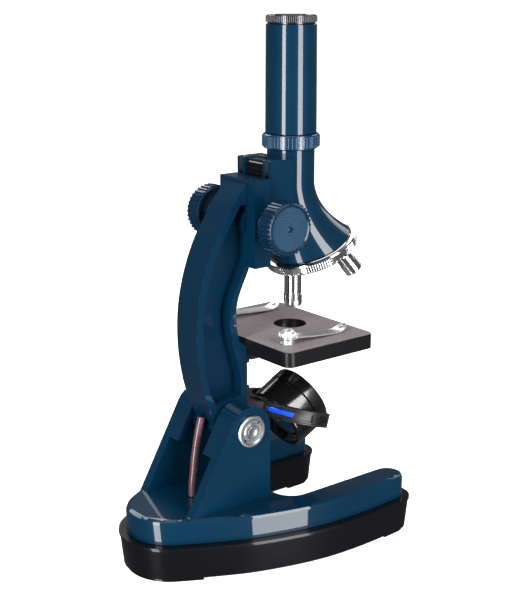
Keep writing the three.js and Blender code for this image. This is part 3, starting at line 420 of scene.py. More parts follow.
# %% [markdown]
# ## Moulded blacks
# The skirt is injection-moulded with a fine spark-eroded texture, while the lamp drum is left
# glossy. The same recipe serves both, and the bright blue inlay of the yoke too: the size of
# the texture and the roughness differ.

# %% Mould the blacks
LIGHTER = 1.5
ROUGH_SPREAD = 0.16


def moulded(name, tone, rough, grain, depth, coat=0.0, shine=0.4):
    """Moulded plastic in one tone, whose roughness varies about a middle value."""
    finish = Finish(name)
    here = finish.place()
    pebbles = finish.noise(here, scale=grain, detail=3, roughness=0.6)
    cloud = finish.noise(here, scale=30, detail=2)
    lighter = tuple(min(1, LIGHTER * c) for c in tone[:3]) + (1,)
    finish.set(Base=finish.mix(cloud.over(edge=0.5, width=0.6), tone, lighter),
               Roughness=pebbles * ROUGH_SPREAD + (rough - ROUGH_SPREAD / 2), Specular=shine,
               Coat=coat, CoatRoughness=0.08)
    finish.bump(pebbles, depth)
    return finish.material


skirt_black = moulded("skirt_black", colour(8, 8, 11), rough=0.3, grain=1400,
                      depth=0.006 * MM, coat=0.45, shine=0.1)
drum_black = moulded("drum_black", colour(12, 12, 13), rough=0.2, grain=500,
                     depth=0.006 * MM, coat=0.6)
satin_black = moulded("satin_black", colour(20, 20, 22), rough=0.34, grain=900,
                      depth=0.02 * MM)
rack_black = moulded("rack_black", colour(14, 14, 15), rough=0.25, grain=700,
                     depth=0.01 * MM)
bright_blue = moulded("bright_blue", colour(20, 66, 225), rough=0.15, grain=500,
                      depth=0.005 * MM, coat=1.0)
print("moulded", skirt_black.name, drum_black.name, satin_black.name, rack_black.name)


# %% [markdown]
# ## Stage coat
# The stage has a coarse black crackle coat. Its flat top carries a painted sheen of warm grey,
# while the sides stay near black, so the tone follows the way each face looks: up or sideways.

# %% Coat the stage
def stage_finish():
    """Painted sheen of grey where a face looks up, near black on the sides."""
    finish = Finish("stage_coat")
    here = finish.place()
    normal = finish.node("ShaderNodeTexCoord", output="Normal")
    upward = finish.parts(normal)[2]
    # Faces that look up get the painted sheen, and a rougher surface.
    on_top = upward.over(edge=0.9, width=0.1)
    speckle = finish.noise(here, scale=1500, detail=3, roughness=0.7)
    rub = finish.noise(here, scale=60, detail=3)
    # The top's grey, speckled and patchy, is a painted sheen.
    sheen_top = finish.mix(speckle.over(edge=0.5, width=0.35), colour(98, 90, 92),
                        colour(144, 134, 136))
    sheen_top = finish.mix(rub.over(edge=0.55, width=0.5) * 0.35, sheen_top, colour(112, 103, 104))
    finish.set(Base=finish.mix(on_top, colour(16, 16, 18), sheen_top),
               Roughness=on_top * 0.22 + speckle * 0.1 + 0.26, Specular=0.2)
    finish.bump(speckle, 0.05 * MM)
    return finish.material


stage_coat = stage_finish()
print("coated", stage_coat.name)


# %% [markdown]
# ## Plated metal
# Chrome on turned brass keeps the marks of the tool under it. Roughness varies with a stretched
# noise, and a very shallow bump breaks the reflections as real plating does.

# %% Plate the metal
TURNING_STRETCH = 6
DARKER = 0.82


def plated(name, tone, rough, marks, depth):
    """Bright metal in one tone, with fine marks that run round a turned part."""
    finish = Finish(name)
    here = finish.place(scale=(1, 1, TURNING_STRETCH))
    fine = finish.noise(here, scale=marks, detail=3)
    haze = finish.noise(here, scale=40, detail=2)
    darker = tuple(DARKER * c for c in tone[:3]) + (1,)
    finish.set(Base=finish.mix(haze.over(edge=0.5, width=0.6), darker, tone), Metallic=1.0,
               Roughness=fine * 0.1 + rough)
    finish.bump(fine, depth)
    return finish.material


chrome = plated("chrome", colour(238, 238, 240), rough=0.07, marks=500, depth=0.001 * MM)
clip_chrome = plated("clip_chrome", colour(250, 250, 250), rough=0.3, marks=300,
                     depth=0.006 * MM)
nut_steel = plated("nut_steel", colour(176, 180, 184), rough=0.3, marks=700,
                   depth=0.006 * MM)
zinc = plated("zinc", colour(170, 172, 176), rough=0.3, marks=600, depth=0.02 * MM)
print("plated", chrome.name, clip_chrome.name, nut_steel.name, zinc.name)


# %% [markdown]
# ## Glass, mirror, wrap and lead
# Small parts that are seldom seen still get a finish of their own, for a turned-over view.

# %% Polish the glass and silver the mirror
def glass(name, rough):
    """Clear glass, or ground glass when it is rough."""
    finish = Finish(name)
    dust = finish.noise(finish.place(), scale=300, detail=3)
    finish.set(Base=finish.mix(dust, colour(225, 238, 242), colour(245, 250, 252)),
               Roughness=dust * 0.05 + rough, Transmission=1.0, IOR=1.5)
    return finish.material


def silvered():
    """A silvered mirror under a thin film of dust."""
    finish = Finish("silvered")
    film = finish.noise(finish.place(), scale=80, detail=3)
    finish.set(Base=finish.mix(film, colour(224, 228, 230), colour(240, 243, 244)), Metallic=1.0,
               Roughness=film * 0.05 + 0.01)
    return finish.material


clear_glass = glass("clear_glass", rough=0.0)
frosted_glass = glass("frosted_glass", rough=0.45)
mirror = silvered()
print("gleam", clear_glass.name, frosted_glass.name, mirror.name)


# %% Wrap the cells and sheathe the lead
BAND_START = 12 * MM
BAND_EDGE = 0.4 * MM


def wrapped_cell():
    """A printed sleeve in two plain colours, one at the end of the cell."""
    finish = Finish("wrapped_cell")
    here = finish.place()
    along = finish.parts(here)[1]
    scuff = finish.noise(here, scale=200, detail=3)
    band = along.over(edge=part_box("battery_left")[0].y + BAND_START, width=BAND_EDGE)
    tone = finish.mix(band, colour(150, 98, 40), colour(34, 34, 38))
    finish.set(Base=finish.mix(scuff * 0.3, tone, colour(120, 110, 100)),
               Roughness=scuff * 0.2 + 0.2, Metallic=0.3)
    return finish.material


def pvc():
    """Soft brownish sheathing with a slight gloss."""
    finish = Finish("pvc_lead")
    here = finish.place()
    cloud = finish.noise(here, scale=120, detail=3)
    finish.set(Base=finish.mix(cloud, colour(66, 44, 50), colour(98, 70, 76)),
               Roughness=cloud * 0.1 + 0.22, Coat=0.5, CoatRoughness=0.12)
    finish.bump(finish.noise(here, scale=600, detail=2), 0.02 * MM)
    return finish.material


cell_wrap = wrapped_cell()
lead_skin = pvc()
print("wrapped", cell_wrap.name, "and sheathed", lead_skin.name)


# %% [markdown]
# ## Floor paint
# The floor has to look as pale as its surroundings, so its matt paint glows a little.

# %% Paint the floor and the lead
FLOOR_GLOW = 1.05


def pale_floor():
    """Matt off-white that glows as brightly as the surroundings."""
    finish = Finish("pale_floor")
    cloud = finish.noise(finish.place(), scale=3, detail=2)
    pale = finish.mix(cloud, (0.93, 0.93, 0.93, 1), (0.95, 0.95, 0.95, 1))
    finish.set(Base=pale, Roughness=cloud * 0.1 + 0.6, Specular=0.2)
    finish.set(**{"Emission Color": pale, "Emission Strength": FLOOR_GLOW})
    return finish.material


def paint(piece, material):
    """Gives a piece one finish, whatever slots it came with."""
    piece.data.materials.clear()
    piece.data.materials.append(material)


paint(floor, pale_floor())
paint(lead, lead_skin)
print("painted", floor.name, lead.name)


# %% [markdown]
# ## Modelling helpers
# Castings start from the frame's own mesh: a copy is merged and its sharp edges are rounded,
# because the frame fixes their form exactly. Weighted normals then let the large flat faces set
# the shading, so that a narrow bevel looks round.

# %% Edit, place and shade
SHARP_DEGREES = 30
FINE_MERGE = 0.001 * MM
CURVE_MERGE = 0.002 * MM
FRAME_MERGE = 0.01 * MM


def edit(piece):
    """Enters edit mode on a piece, with all of it selected."""
    pick(piece)
    bpy.ops.object.mode_set(mode="EDIT")
    bpy.ops.mesh.select_all(action="SELECT")


def object_mode():
    """Leaves edit mode, which writes the edits to the mesh."""
    bpy.ops.object.mode_set(mode="OBJECT")


def apply_place(piece):
    """Moves a piece's location, turn and size into its mesh."""
    pick(piece)
    bpy.ops.object.transform_apply(location=True, rotation=True, scale=True)


def placed(piece, centre, turn=(0, 0, 0)):
    """Turns a piece about the origin, in degrees, and moves it to a centre in millimetres."""
    piece.rotation_euler = [math.radians(t) for t in turn]
    piece.location = [c * MM for c in centre]
    apply_place(piece)
    return piece


def smoothed(piece, degrees=SHARP_DEGREES):
    """Shades a piece smooth, apart from edges sharper than an angle and those marked before."""
    pick(piece)
    bpy.ops.object.shade_smooth_by_angle(angle=math.radians(degrees))
    return piece


def leveled(piece):
    """Lets the large flat faces set the shading, so that a small bevel alone looks round."""
    smoothed(piece, SHADE_DEGREES)
    weights = piece.modifiers.new("level", "WEIGHTED_NORMAL")
    weights.keep_sharp = True
    bpy.ops.object.modifier_apply(modifier=weights.name)


# %% Copy a piece of the frame and round its edges
def rounded(piece, width):
    """Bevels every sharp edge, with a modifier that is then applied."""
    pick(piece)
    bevel = piece.modifiers.new("rounding", "BEVEL")
    bevel.width = width
    bevel.segments = 2
    bevel.limit_method = "ANGLE"
    bevel.angle_limit = math.radians(SHARP_DEGREES)
    bevel.miter_outer = "MITER_ARC"
    bpy.ops.object.modifier_apply(modifier=bevel.name)


def softened(node, name, width):
    """A copy of a frame node with its triangles merged and its edges rounded."""
    source = frame["nodes"][node]
    piece = source.copy()
    piece.data = source.data.copy()
    piece.name = name
    piece.parent = None
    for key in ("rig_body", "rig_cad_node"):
        del piece[key]
    bpy.context.scene.collection.objects.link(piece)
    edit(piece)
    bpy.ops.mesh.remove_doubles(threshold=FRAME_MERGE)
    bpy.ops.mesh.normals_make_consistent(inside=False)
    object_mode()
    rounded(piece, width)
    return piece


def finish_piece(piece, material, body, node):
    """Paints a piece, puts it on its body and hides the frame node it stands for."""
    leveled(piece)
    paint(piece, material)
    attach(piece, body)
    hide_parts(node)
    print(piece.name, len(piece.data.polygons), "faces")


# %% [markdown]
# ## The castings
# Base, arm and stage are castings and mouldings with plain flats and generous corners. Copying
# the frame's solid keeps every hole where it belongs, and a small bevel catches the light. The
# clips, the rack and the yoke are as plain, and are made the same way.

# %% Base, skirt, arm, stage, clips, rack and yoke
CASTINGS = [
    ("base_casting", "base_cover", 0.7 * MM, blue_enamel, "base", "blue_paint"),
    ("base_skirt", "skirt", 0.4 * MM, skirt_black, "base", "black_plastic"),
    ("arm_casting", "arm", 0.4 * MM, blue_enamel, "arm", "blue_paint"),
    ("stage_plate", "stage", 0.2 * MM, stage_coat, "arm", "stage_coat"),
    ("stage_clip_left", "clip_left_strip", 0.15 * MM, clip_chrome, "clip_left", "chrome"),
    ("stage_clip_right", "clip_right_strip", 0.15 * MM, clip_chrome, "clip_right", "chrome"),
    ("focus_rack", "rack", 0.1 * MM, rack_black, "head", "black_plastic"),
    ("lamp_yoke", "yoke", 0.3 * MM, satin_black, "arm", "black_plastic"),
    ("yoke_inlay", "inlay", 0.8 * MM, bright_blue, "arm", "blue_plastic"),
]
for node, name, width, material, body, slot in CASTINGS:
    finish_piece(softened(node, name, width), material, body, node)


# %% [markdown]
# ## The bell
# The bell under the tube flares and leans forward to the turret. Its rings follow one curve:
# each is extruded, leaned a little further and widened, and the last one meets the first, so
# that the wall closes. A revolved profile would be quicker, but it couldn't lean.

# %% Set out the bell
TUBE_Y = -29.8
TURRET_LEAN = 22.5
RIM_CENTRE = Vector((0, -13.27, 162.93))
RIM_RADIUS = 23.1
BELL_TOP = 198.0
BELL_WALL = 2.6
NECK_TOP = 215.9
NECK_RADIUS = 12.8
BORE_RADIUS = 9
SPIGOT_RADIUS = 11.82
SPIGOT_TOP = 229.8
LEAN_CURVE = 1.7
FLARE_CURVE = 1.9


def bell_ring(share, grow=0):
    """Radius, centre and lean of the bell at a share of the way down."""
    centre = (0, RIM_CENTRE.y * share**LEAN_CURVE,
              BELL_TOP + (RIM_CENTRE.z - BELL_TOP) * share)
    radius = grow + NECK_RADIUS + (RIM_RADIUS - NECK_RADIUS) * share**FLARE_CURVE
    return radius, Vector(centre), TURRET_LEAN * share


def level_ring(radius, height):
    """A ring round the tube's axis that doesn't lean."""
    return radius, Vector((0, 0, height)), 0


# %% Grow a wall from ring to ring
def loft(name, rings, sides):
    """Rings of a radius, a centre and a lean about X, extruded from each to the next."""
    radius, centre, lean = rings[0]
    deselect()
    bpy.ops.mesh.primitive_circle_add(vertices=sides, radius=radius * MM, location=centre * MM,
                                      rotation=(-math.radians(lean), 0, 0))
    piece = bpy.context.object
    piece.name = name
    apply_place(piece)
    edit(piece)
    for next_radius, next_centre, next_lean in rings[1:]:
        bpy.ops.mesh.extrude_edges_move(
            TRANSFORM_OT_translate={"value": (next_centre - centre) * MM})
        pivot = tuple(next_centre * MM)
        share = next_radius / radius
        bpy.ops.transform.resize(value=(share, share, share), center_override=pivot)
        bpy.ops.transform.rotate(value=math.radians(next_lean - lean), orient_axis="X",
                                 center_override=pivot)
        radius, centre, lean = next_radius, next_centre, next_lean
    bpy.ops.mesh.select_all(action="SELECT")
    bpy.ops.mesh.remove_doubles(threshold=FINE_MERGE)
    bpy.ops.mesh.normals_make_consistent(inside=False)
    object_mode()
    return smoothed(piece)


# %% Make the bell
OUTER_STEPS = 22
INNER_STEPS = 8
BELL_SIDES = 96

neck = [level_ring(NECK_RADIUS, height) for height in (NECK_TOP, 212.0, 203.0)]
outside = [bell_ring(i / OUTER_STEPS) for i in range(OUTER_STEPS + 1)]
inside = [bell_ring(i / INNER_STEPS, -BELL_WALL) for i in range(INNER_STEPS, 0, -1)]
bore = [level_ring(BORE_RADIUS, 200), level_ring(BORE_RADIUS, SPIGOT_TOP)]
spigot = [level_ring(SPIGOT_RADIUS, SPIGOT_TOP), level_ring(SPIGOT_RADIUS, NECK_TOP)]
bell = loft("bell", [*neck, *outside, *inside, *bore, *spigot, neck[0]], BELL_SIDES)
placed(bell, (0, TUBE_Y, 0))
finish_piece(bell, blue_enamel, "head", "head_casting")


# %% [markdown]
# ## The slide block
# The block behind the bell carries the head on two dovetails, with a deep channel between them
# for the rack. Its section is the same all the way up, so it is a thick plate, drawn from above
# as a flat curve that is given a height and a rounded edge.

# %% Cut the slide block
SLIDE_OUTLINE = [
    (-14, -20.5), (14, -20.5), (14, -4.6), (12.1, -4.6), (12.9, -7.3), (8.7, -7.3), (9.5, -4.6),
    (7.6, -4.6), (7.6, -13.8), (-7.6, -13.8), (-7.6, -4.6), (-9.5, -4.6), (-8.7, -7.3),
    (-12.9, -7.3), (-12.1, -4.6), (-14, -4.6),
]


def thick_plate(name, outline, low, high, edge):
    """A plate with a rounded edge, from an outline in millimetres, between two heights."""
    curve = bpy.data.curves.new(name, "CURVE")
    curve.dimensions = "2D"
    curve.fill_mode = "BOTH"
    curve.extrude = ((high - low) / 2 - edge) * MM
    curve.bevel_depth = edge * MM
    curve.offset = -edge * MM
    curve.bevel_resolution = 1
    line = curve.splines.new("POLY")
    line.points.add(len(outline) - 1)
    for point, (x, y) in zip(line.points, outline):
        point.co = (x * MM, y * MM, 0, 1)
    line.use_cyclic_u = True
    piece = bpy.data.objects.new(name, curve)
    bpy.context.scene.collection.objects.link(piece)
    pick(piece)
    bpy.ops.object.convert(target="MESH")
    piece = bpy.context.object
    edit(piece)
    bpy.ops.mesh.remove_doubles(threshold=CURVE_MERGE)
    bpy.ops.mesh.normals_make_consistent(inside=False)
    object_mode()
    return placed(smoothed(piece), (0, 0, (low + high) / 2))


slide = thick_plate("slide_block", SLIDE_OUTLINE, low=163, high=212.5, edge=0.35)
finish_piece(slide, blue_enamel, "head", "head_casting")


# %% [markdown]
# ## Turned pieces and their ribs
# Turned parts start as a circle that is extruded and scaled ring by ring, the way a lathe
# profile grows. A piece that is solid in the middle has its two ends capped. One that is bored
# through isn't: its last ring isn't joined to its first, so the wall of the bore stays open.
# Ribs are raised from slices of the finished wall, by an inset that also pushes them out.

# %% Turn a piece
def cap_ends():
    """Fills the two open ends of the piece being edited."""
    bpy.ops.mesh.select_all(action="DESELECT")
    bpy.ops.mesh.select_mode(type="EDGE")
    bpy.ops.mesh.select_non_manifold()
    bpy.ops.mesh.fill_holes(sides=0)
    bpy.ops.mesh.select_mode(type="VERT")
    bpy.ops.mesh.select_all(action="SELECT")


def lathe(name, profile, sides, capped=False):
    """Extrudes a circle through rings of a radius and a height, in millimetres."""
    (radius, height), *rest = [(r * MM, z * MM) for r, z in profile]
    deselect()
    bpy.ops.mesh.primitive_circle_add(vertices=sides, radius=radius, location=(0, 0, height))
    piece = bpy.context.object
    piece.name = name
    apply_place(piece)
    edit(piece)
    for next_radius, next_height in rest:
        bpy.ops.mesh.extrude_edges_move(
            TRANSFORM_OT_translate={"value": (0, 0, next_height - height)})
        share = next_radius / radius
        bpy.ops.transform.resize(value=(share, share, 1), center_override=(0, 0, next_height))
        radius, height = next_radius, next_height
    bpy.ops.mesh.select_all(action="SELECT")
    if capped:
        cap_ends()
    else:
        bpy.ops.mesh.remove_doubles(threshold=FINE_MERGE)
    bpy.ops.mesh.normals_make_consistent(inside=False)
    object_mode()
    return smoothed(piece)


# %% Choose faces and raise ribs
OUTWARD = 0.8
SLICE_NUDGE = 0.001


def choose(piece, wanted):
    """Enters edit mode with the faces selected whose centre and normal pass a test."""
    edit(piece)
    bpy.ops.mesh.select_mode(type="FACE")
    bpy.ops.mesh.select_all(action="DESELECT")
    object_mode()
    for face in piece.data.polygons:
        face.select = wanted(face.center, face.normal)
    bpy.ops.object.mode_set(mode="EDIT")


def spoke(centre, count):
    """Which of a number of equal slices round Z holds a point, nudged off the borders."""
    share = math.atan2(centre.y, centre.x) / math.tau
    return math.floor(share * count + SLICE_NUDGE) % count


def ribs(piece, sides, low, high, least, wanted, edge, depth, single=True):
    """Raises ribs beyond a least radius, between two heights, on the slices a test picks."""
    choose(piece, lambda centre, normal: (
        low * MM < centre.z < high * MM
        and centre.xy.length > least * MM
        and normal.xy.normalized().dot(centre.xy.normalized()) > OUTWARD
        and wanted(spoke(centre, sides))))
    bpy.ops.mesh.inset(thickness=edge * MM, depth=depth * MM, use_individual=single)
    object_mode()
    smoothed(piece)


# %% [markdown]
# ## Tube, zoom collar and eyepiece cap
# The tube tapers by less than half a millimetre. The collar carries 48 fine ribs, with four
# broad ones among them for grip, and the cap 80. Their crests carry a painted highlight: the
# finish is lighter beyond a certain radius.

# %% Paint a highlight on the crests of ribs
GLEAM_START = 0.35 * MM
GLEAM_WIDTH = 0.3 * MM


def painted_gleam_ribs(name, root, crest, radius):
    """A glossy finish with a painted highlight on the crests of ribs, beyond a radius in
    millimetres.
    """
    finish = Finish(name)
    here = finish.place(centre=(0, TUBE_Y * MM, 0))
    across, along, _ = finish.parts(here)
    reach = (across * across + along * along) ** 0.5
    wear_and_gleam = finish.noise(here, scale=260, detail=3)
    # Beyond the radius the crests are painted lighter: a painted highlight, broken up by noise.
    crest_gleam_mask = reach.over(edge=radius * MM + GLEAM_START, width=GLEAM_WIDTH)
    gleam = crest_gleam_mask * (wear_and_gleam * 0.8 + 0.25)
    finish.set(Base=finish.mix(gleam.held(), root, crest), Roughness=wear_and_gleam * 0.12 + 0.16,
               Specular=0.4, Coat=0.5, CoatRoughness=0.06)
    finish.bump(wear_and_gleam, 0.01 * MM)
    return finish.material


# The second colour of each is the painted highlight on the crests.
collar_blue = painted_gleam_ribs("collar_blue", colour(6, 38, 64), colour(66, 96, 122), radius=14.9)
cap_ribbed = painted_gleam_ribs("cap_ribbed", colour(18, 19, 21), colour(112, 114, 118), radius=12.8)
print("gleam", collar_blue.name, cap_ribbed.name)


# %% Turn the tube, the collar and the cap
TUBE_SIDES = 128
COLLAR_SIDES = 144
CAP_SIDES = 160

tube = lathe("tube", [
    (12.12, 224.1), (13.4, 224.1), (13.72, 224.4), (13.35, 279.9), (13.1, 280.4), (11.9, 280.4),
], TUBE_SIDES)
placed(tube, (0, TUBE_Y, 0))
finish_piece(tube, blue_enamel, "head", "upper_tube")

collar = lathe("collar", [
    (12.1, 216.2), (14.4, 216.2), (14.95, 216.7), (14.95, 217.1), (14.95, 223.0),
    (14.95, 223.4), (14.5, 223.8), (12.1, 223.8),
], COLLAR_SIDES)
ribs(collar, COLLAR_SIDES, low=217.2, high=222.9, least=14, edge=0.12, depth=0.65,
     wanted=lambda i: i % 3 == 0)
ribs(collar, COLLAR_SIDES, low=217.2, high=222.9, least=14, edge=0.05, depth=0.6,
     wanted=lambda i: i % 36 in (1, 2))
placed(collar, (0, TUBE_Y, 0))
finish_piece(collar, collar_blue, "zoom_ring", "zoom_collar")

cap = lathe("cap", [
    (8.3, 268.4), (10.4, 268.4), (10.4, 279.8), (12.5, 280.7), (12.5, 281.3), (12.85, 281.4),
    (12.85, 281.5), (12.85, 284.6), (12.85, 284.8), (12.6, 285.0), (11.2, 285.0), (10.0, 283.8),
    (6.5, 282.2), (5.5, 281.6), (5.5, 281.0), (8.3, 281.0),
], CAP_SIDES)
ribs(cap, CAP_SIDES, low=281.5, high=284.7, least=12.5, edge=0.06, depth=0.6,
     wanted=lambda i: i % 2 == 0)
placed(cap, (0, TUBE_Y, 0))
finish_piece(cap, cap_ribbed, "head", "eyepiece_cap")


# %% [markdown]
# ## Focus knobs
# Each knob is a cup: fluted outside, hollow behind and dished in front, on a hub that grips the
# shaft. The face carries eight fields of fine arcs, which the finish draws in relief.

# %% Draw the knob's face
KNOB_X = 15.8
KNOB_Y = -0.2
KNOB_HEIGHT = 181.0
FIELDS = 8
ARC_BOW = 2.2
ARCS_PER_METRE = 6600 / math.tau
FACE_RADIUS = 11.4 * MM
HUB_RADIUS = 1.6 * MM
FACE_EDGE = 0.3 * MM


def knob_finish():
    """Slate blue, with bowed arcs in relief over equal fields of the knob's face."""
    finish = Finish("knob_slate")
    here = finish.place(centre=(0, KNOB_Y * MM, KNOB_HEIGHT * MM))
    _, along, up = finish.parts(here)
    radius = (along * along + up * up) ** 0.5
    angle = finish.node("ShaderNodeMath", {"operation": "ARCTAN2"}, {0: up, 1: along})
    turns = angle * (FIELDS / math.tau)
    field = finish.node("ShaderNodeMath", {"operation": "FLOOR"}, {0: turns})
    within = (turns - field - 0.5) * (math.tau / FIELDS)
    bow = finish.node("ShaderNodeMath", {"operation": "COSINE"}, {0: within * ARC_BOW})
    phase = radius * bow * (ARCS_PER_METRE * math.tau)
    wave = finish.node("ShaderNodeMath", {"operation": "SINE"}, {0: phase})
    off_hub = radius.over(edge=HUB_RADIUS, width=FACE_EDGE)
    on_face = (1 - radius.over(edge=FACE_RADIUS, width=FACE_EDGE)) * off_hub
    drift = finish.noise(here, scale=40, detail=3)
    lines = (wave * 0.5 + 0.5) ** 3
    tone = finish.mix(drift.over(edge=0.5, width=0.5), colour(6, 30, 50), colour(9, 38, 60))
    tone = finish.mix(on_face * lines * 0.6, tone, colour(80, 108, 130))
    finish.set(Base=tone, Roughness=drift * 0.1 + 0.28, Specular=0.1,
               Coat=(1 - on_face) * 0.5, CoatRoughness=0.1)
    finish.bump(on_face * lines, 0.03 * MM)
    return finish.material


knob_slate = knob_finish()
print("drew", FIELDS, "fields on", knob_slate.name)


# %% Turn and flute the knobs
KNOB_SIDES = 144
KNOB_PROFILE = [
    (2.75, 17.8), (2.75, 0), (5.2, 0), (5.2, 12.6), (11.3, 12.6), (11.9, 10.6), (12.9, 10.5),
    (13.45, 11.0), (13.45, 19.4), (13.1, 20.1), (12.6, 20.5), (12.0, 20.5), (11.6, 19.8),
    (1.5, 19.8), (1.2, 20.2), (0.3, 20.3),
]
for side, name in ((-1, "left"), (1, "right")):
    knob = lathe("knob_" + name, KNOB_PROFILE, KNOB_SIDES, capped=True)
    ribs(knob, KNOB_SIDES, low=11.1, high=19.3, least=13, edge=0.14, depth=0.72, single=False,
         wanted=lambda i: i % 4 < 2)
    placed(knob, (side * KNOB_X, KNOB_Y, KNOB_HEIGHT), (0, side * 90, 0))
    finish_piece(knob, knob_slate, "focus", "focus_knob_" + name)


# %% [markdown]
# ## Turret ring
# The turret ring is plated brass: six knurled fields alternate with smooth ones, each with three
# grooves. A knurled cell is a small pyramid, so each face of a field is poked outwards.

# %% Turn and knurl the turret ring
TURRET_CENTRE = (0, -44.45, 159.6)
TURRET_TURN = (-TURRET_LEAN, 0, 0)
RING_SIDES = 120
RING_FIELD = 20
FIRST_FIELD = 42
KNURLED = 13
GROOVED = (14, 16, 18)
CRISP_DEGREES = 15


def in_field(i):
    """Which slice of its field a slice of the turret ring is."""
    return (i - FIRST_FIELD) % RING_FIELD


turret_ring = lathe("turret_ring", [
    (24.0, -2.7), (25.5, -2.7), (26.05, -2.1), (26.05, -0.75), (26.05, 0.7), (26.05, 2.1),
    (25.6, 2.7), (24.0, 2.7),
], RING_SIDES)
ribs(turret_ring, RING_SIDES, low=-2.1, high=2.1, least=26, edge=0.2, depth=-0.5, single=False,
     wanted=lambda i: in_field(i) in GROOVED)
choose(turret_ring, lambda centre, normal: (
    centre.xy.length > 25.95 * MM and abs(centre.z) < 2.1 * MM
    and abs(normal.z) < 0.1 and in_field(spoke(centre, RING_SIDES)) < KNURLED))
bpy.ops.mesh.poke(offset=0.6 * MM)
object_mode()
placed(smoothed(turret_ring, CRISP_DEGREES), TURRET_CENTRE, TURRET_TURN)
finish_piece(turret_ring, chrome, "turret", "turret_ring")


# %% [markdown]
# ## Turret plate and objectives
# The plate closes the ring from below and is drilled for three objectives. They splay so that
# the one in use stands upright. Each seat is a matrix: a third of a turn, out, and leaned back.

# %% Drill holes
DRILL_SIDES = 32
DRILL_LENGTH = 40


def drilled(piece, holes):
    """Cuts round holes: each has a radius, a centre and a direction, in millimetres."""
    for radius, centre, turn in holes:
        deselect()
        bpy.ops.mesh.primitive_cylinder_add(vertices=DRILL_SIDES, radius=radius * MM,
                                            depth=DRILL_LENGTH * MM)
        drill = placed(bpy.context.object, centre, turn)
        pick(piece)
        cut = piece.modifiers.new("drill", "BOOLEAN")
        cut.operation = "DIFFERENCE"
        cut.object = drill
        bpy.ops.object.modifier_apply(modifier=cut.name)
        bpy.data.objects.remove(drill)
    smoothed(piece)


# %% Turn and drill the turret plate
SEAT_OFFSET = 13.692
SEAT_RADIUS = 4.5
SEATS = [
    Matrix.Rotation(math.radians(120 * i), 4, "Z")
    @ Matrix.Translation((0, SEAT_OFFSET * MM, 0))
    @ Matrix.Rotation(math.radians(TURRET_LEAN), 4, "X")
    for i in range(3)
]

plate = lathe("turret_plate", [
    (2.25, -1.5), (8, -2.1), (22.8, -1.7), (23.6, -1.2), (23.6, 2.2), (22.6, 2.9), (2.25, 2.9),
], 96)
drilled(plate, [
    (SEAT_RADIUS, [c / MM for c in seat.translation], [math.degrees(a) for a in seat.to_euler()])
    for seat in SEATS])
placed(plate, TURRET_CENTRE, TURRET_TURN)
finish_piece(plate, chrome, "turret", "turret_disc")


# %% Turn the objectives
BARREL_LENGTHS = {"upright": 25.8, "left": 19.5, "right": 16.0}
for seat, (name, length) in zip(SEATS, BARREL_LENGTHS.items()):
    objective = lathe("objective_barrel_" + name, [
        (2, -length), (4.3, -length), (4.8, -length + 0.4), (5.1, -length + 1.0),
        (5.15, -length + 6.6), (4.8, -length + 7.0), (4.8, -5.6), (5.2, -5.4), (5.2, -4.4),
        (4.7, -4.2), (4.2, -4.2), (4.2, 2.2), (3, 2.2), (3, -length + 3), (2, -length + 2),
    ], 72)
    objective.matrix_world = seat
    apply_place(objective)
    placed(objective, TURRET_CENTRE, TURRET_TURN)
    finish_piece(objective, chrome, "turret", "objective_" + name)


# %% [markdown]
# ## Lamp drum
# The drum is moulded glossy. A bezel ring closes it at the front, a little wider than the drum,
# so a fine seam runs round it. Two bosses take the pivot screws.

# %% Turn the drum and its bezel
LAMP_CENTRE = (0, -29.8, 69.0)
LAMP_TURN = (62, 0, 0)
DRUM_SIDES = 112
BOSS_X = 18

drum = lathe("drum", [
    (3.5, -7), (15.6, -7), (15.6, -11.2), (16.2, -11.5), (17.6, -11.5), (18.4, -11.1),
    (18.8, -10.2), (18.8, 3.1), (18.5, 3.5), (17.2, 3.5), (17.2, -5), (3.5, -5),
], DRUM_SIDES)
for side in (-1, 1):
    boss = lathe("boss", [(1.85, 0), (3.6, 0), (3.6, 3.4), (3.2, 3.8), (1.85, 3.8)], 40)
    placed(boss, (side * BOSS_X, 0, 0), (0, side * 90, 0))
    pick(drum)
    boss.select_set(True)
    bpy.ops.object.join()
placed(drum, LAMP_CENTRE, LAMP_TURN)
finish_piece(drum, drum_black, "lamp", "lamp_housing")

bezel = lathe("bezel", [
    (16.9, 2.4), (16.9, 3.8), (18.7, 3.8), (19.05, 4.1), (18.95, 10.4), (18.6, 11.1),
    (18.0, 11.5), (16.2, 11.5), (15.8, 11.1), (15.8, 10.5), (15.4, 2.4),
], DRUM_SIDES)
placed(bezel, LAMP_CENTRE, LAMP_TURN)
finish_piece(bezel, drum_black, "lamp", "lamp_bezel")


# %% [markdown]
# ## Ribs along the yoke
# Two raised ribs stiffen the half-round yoke, one along each edge. Each is a full ring, open on
# its inner side where it sinks into the yoke, and cut in half by a bisect.

# %% Raise the yoke's ribs
YOKE_TURN = (17, 0, 0)
RIB_HEIGHT = 3.4
CUT_Y = 0.5 * MM

for height, name in ((-RIB_HEIGHT, "lower"), (RIB_HEIGHT, "upper")):
    rib = lathe("yoke_rib_" + name, [
        (26.0, height - 0.5), (26.8, height - 0.5), (27.0, height - 0.3), (27.0, height + 0.3),
        (26.8, height + 0.5), (26.0, height + 0.5),
    ], DRUM_SIDES)
    edit(rib)
    bpy.ops.mesh.bisect(plane_co=(0, CUT_Y, 0), plane_no=(0, 1, 0), use_fill=True,
                        clear_inner=True)
    bpy.ops.mesh.select_all(action="SELECT")
    bpy.ops.mesh.normals_make_consistent(inside=False)
    object_mode()
    placed(rib, LAMP_CENTRE, YOKE_TURN)
    finish_piece(rib, satin_black, "arm", "lamp_yoke")


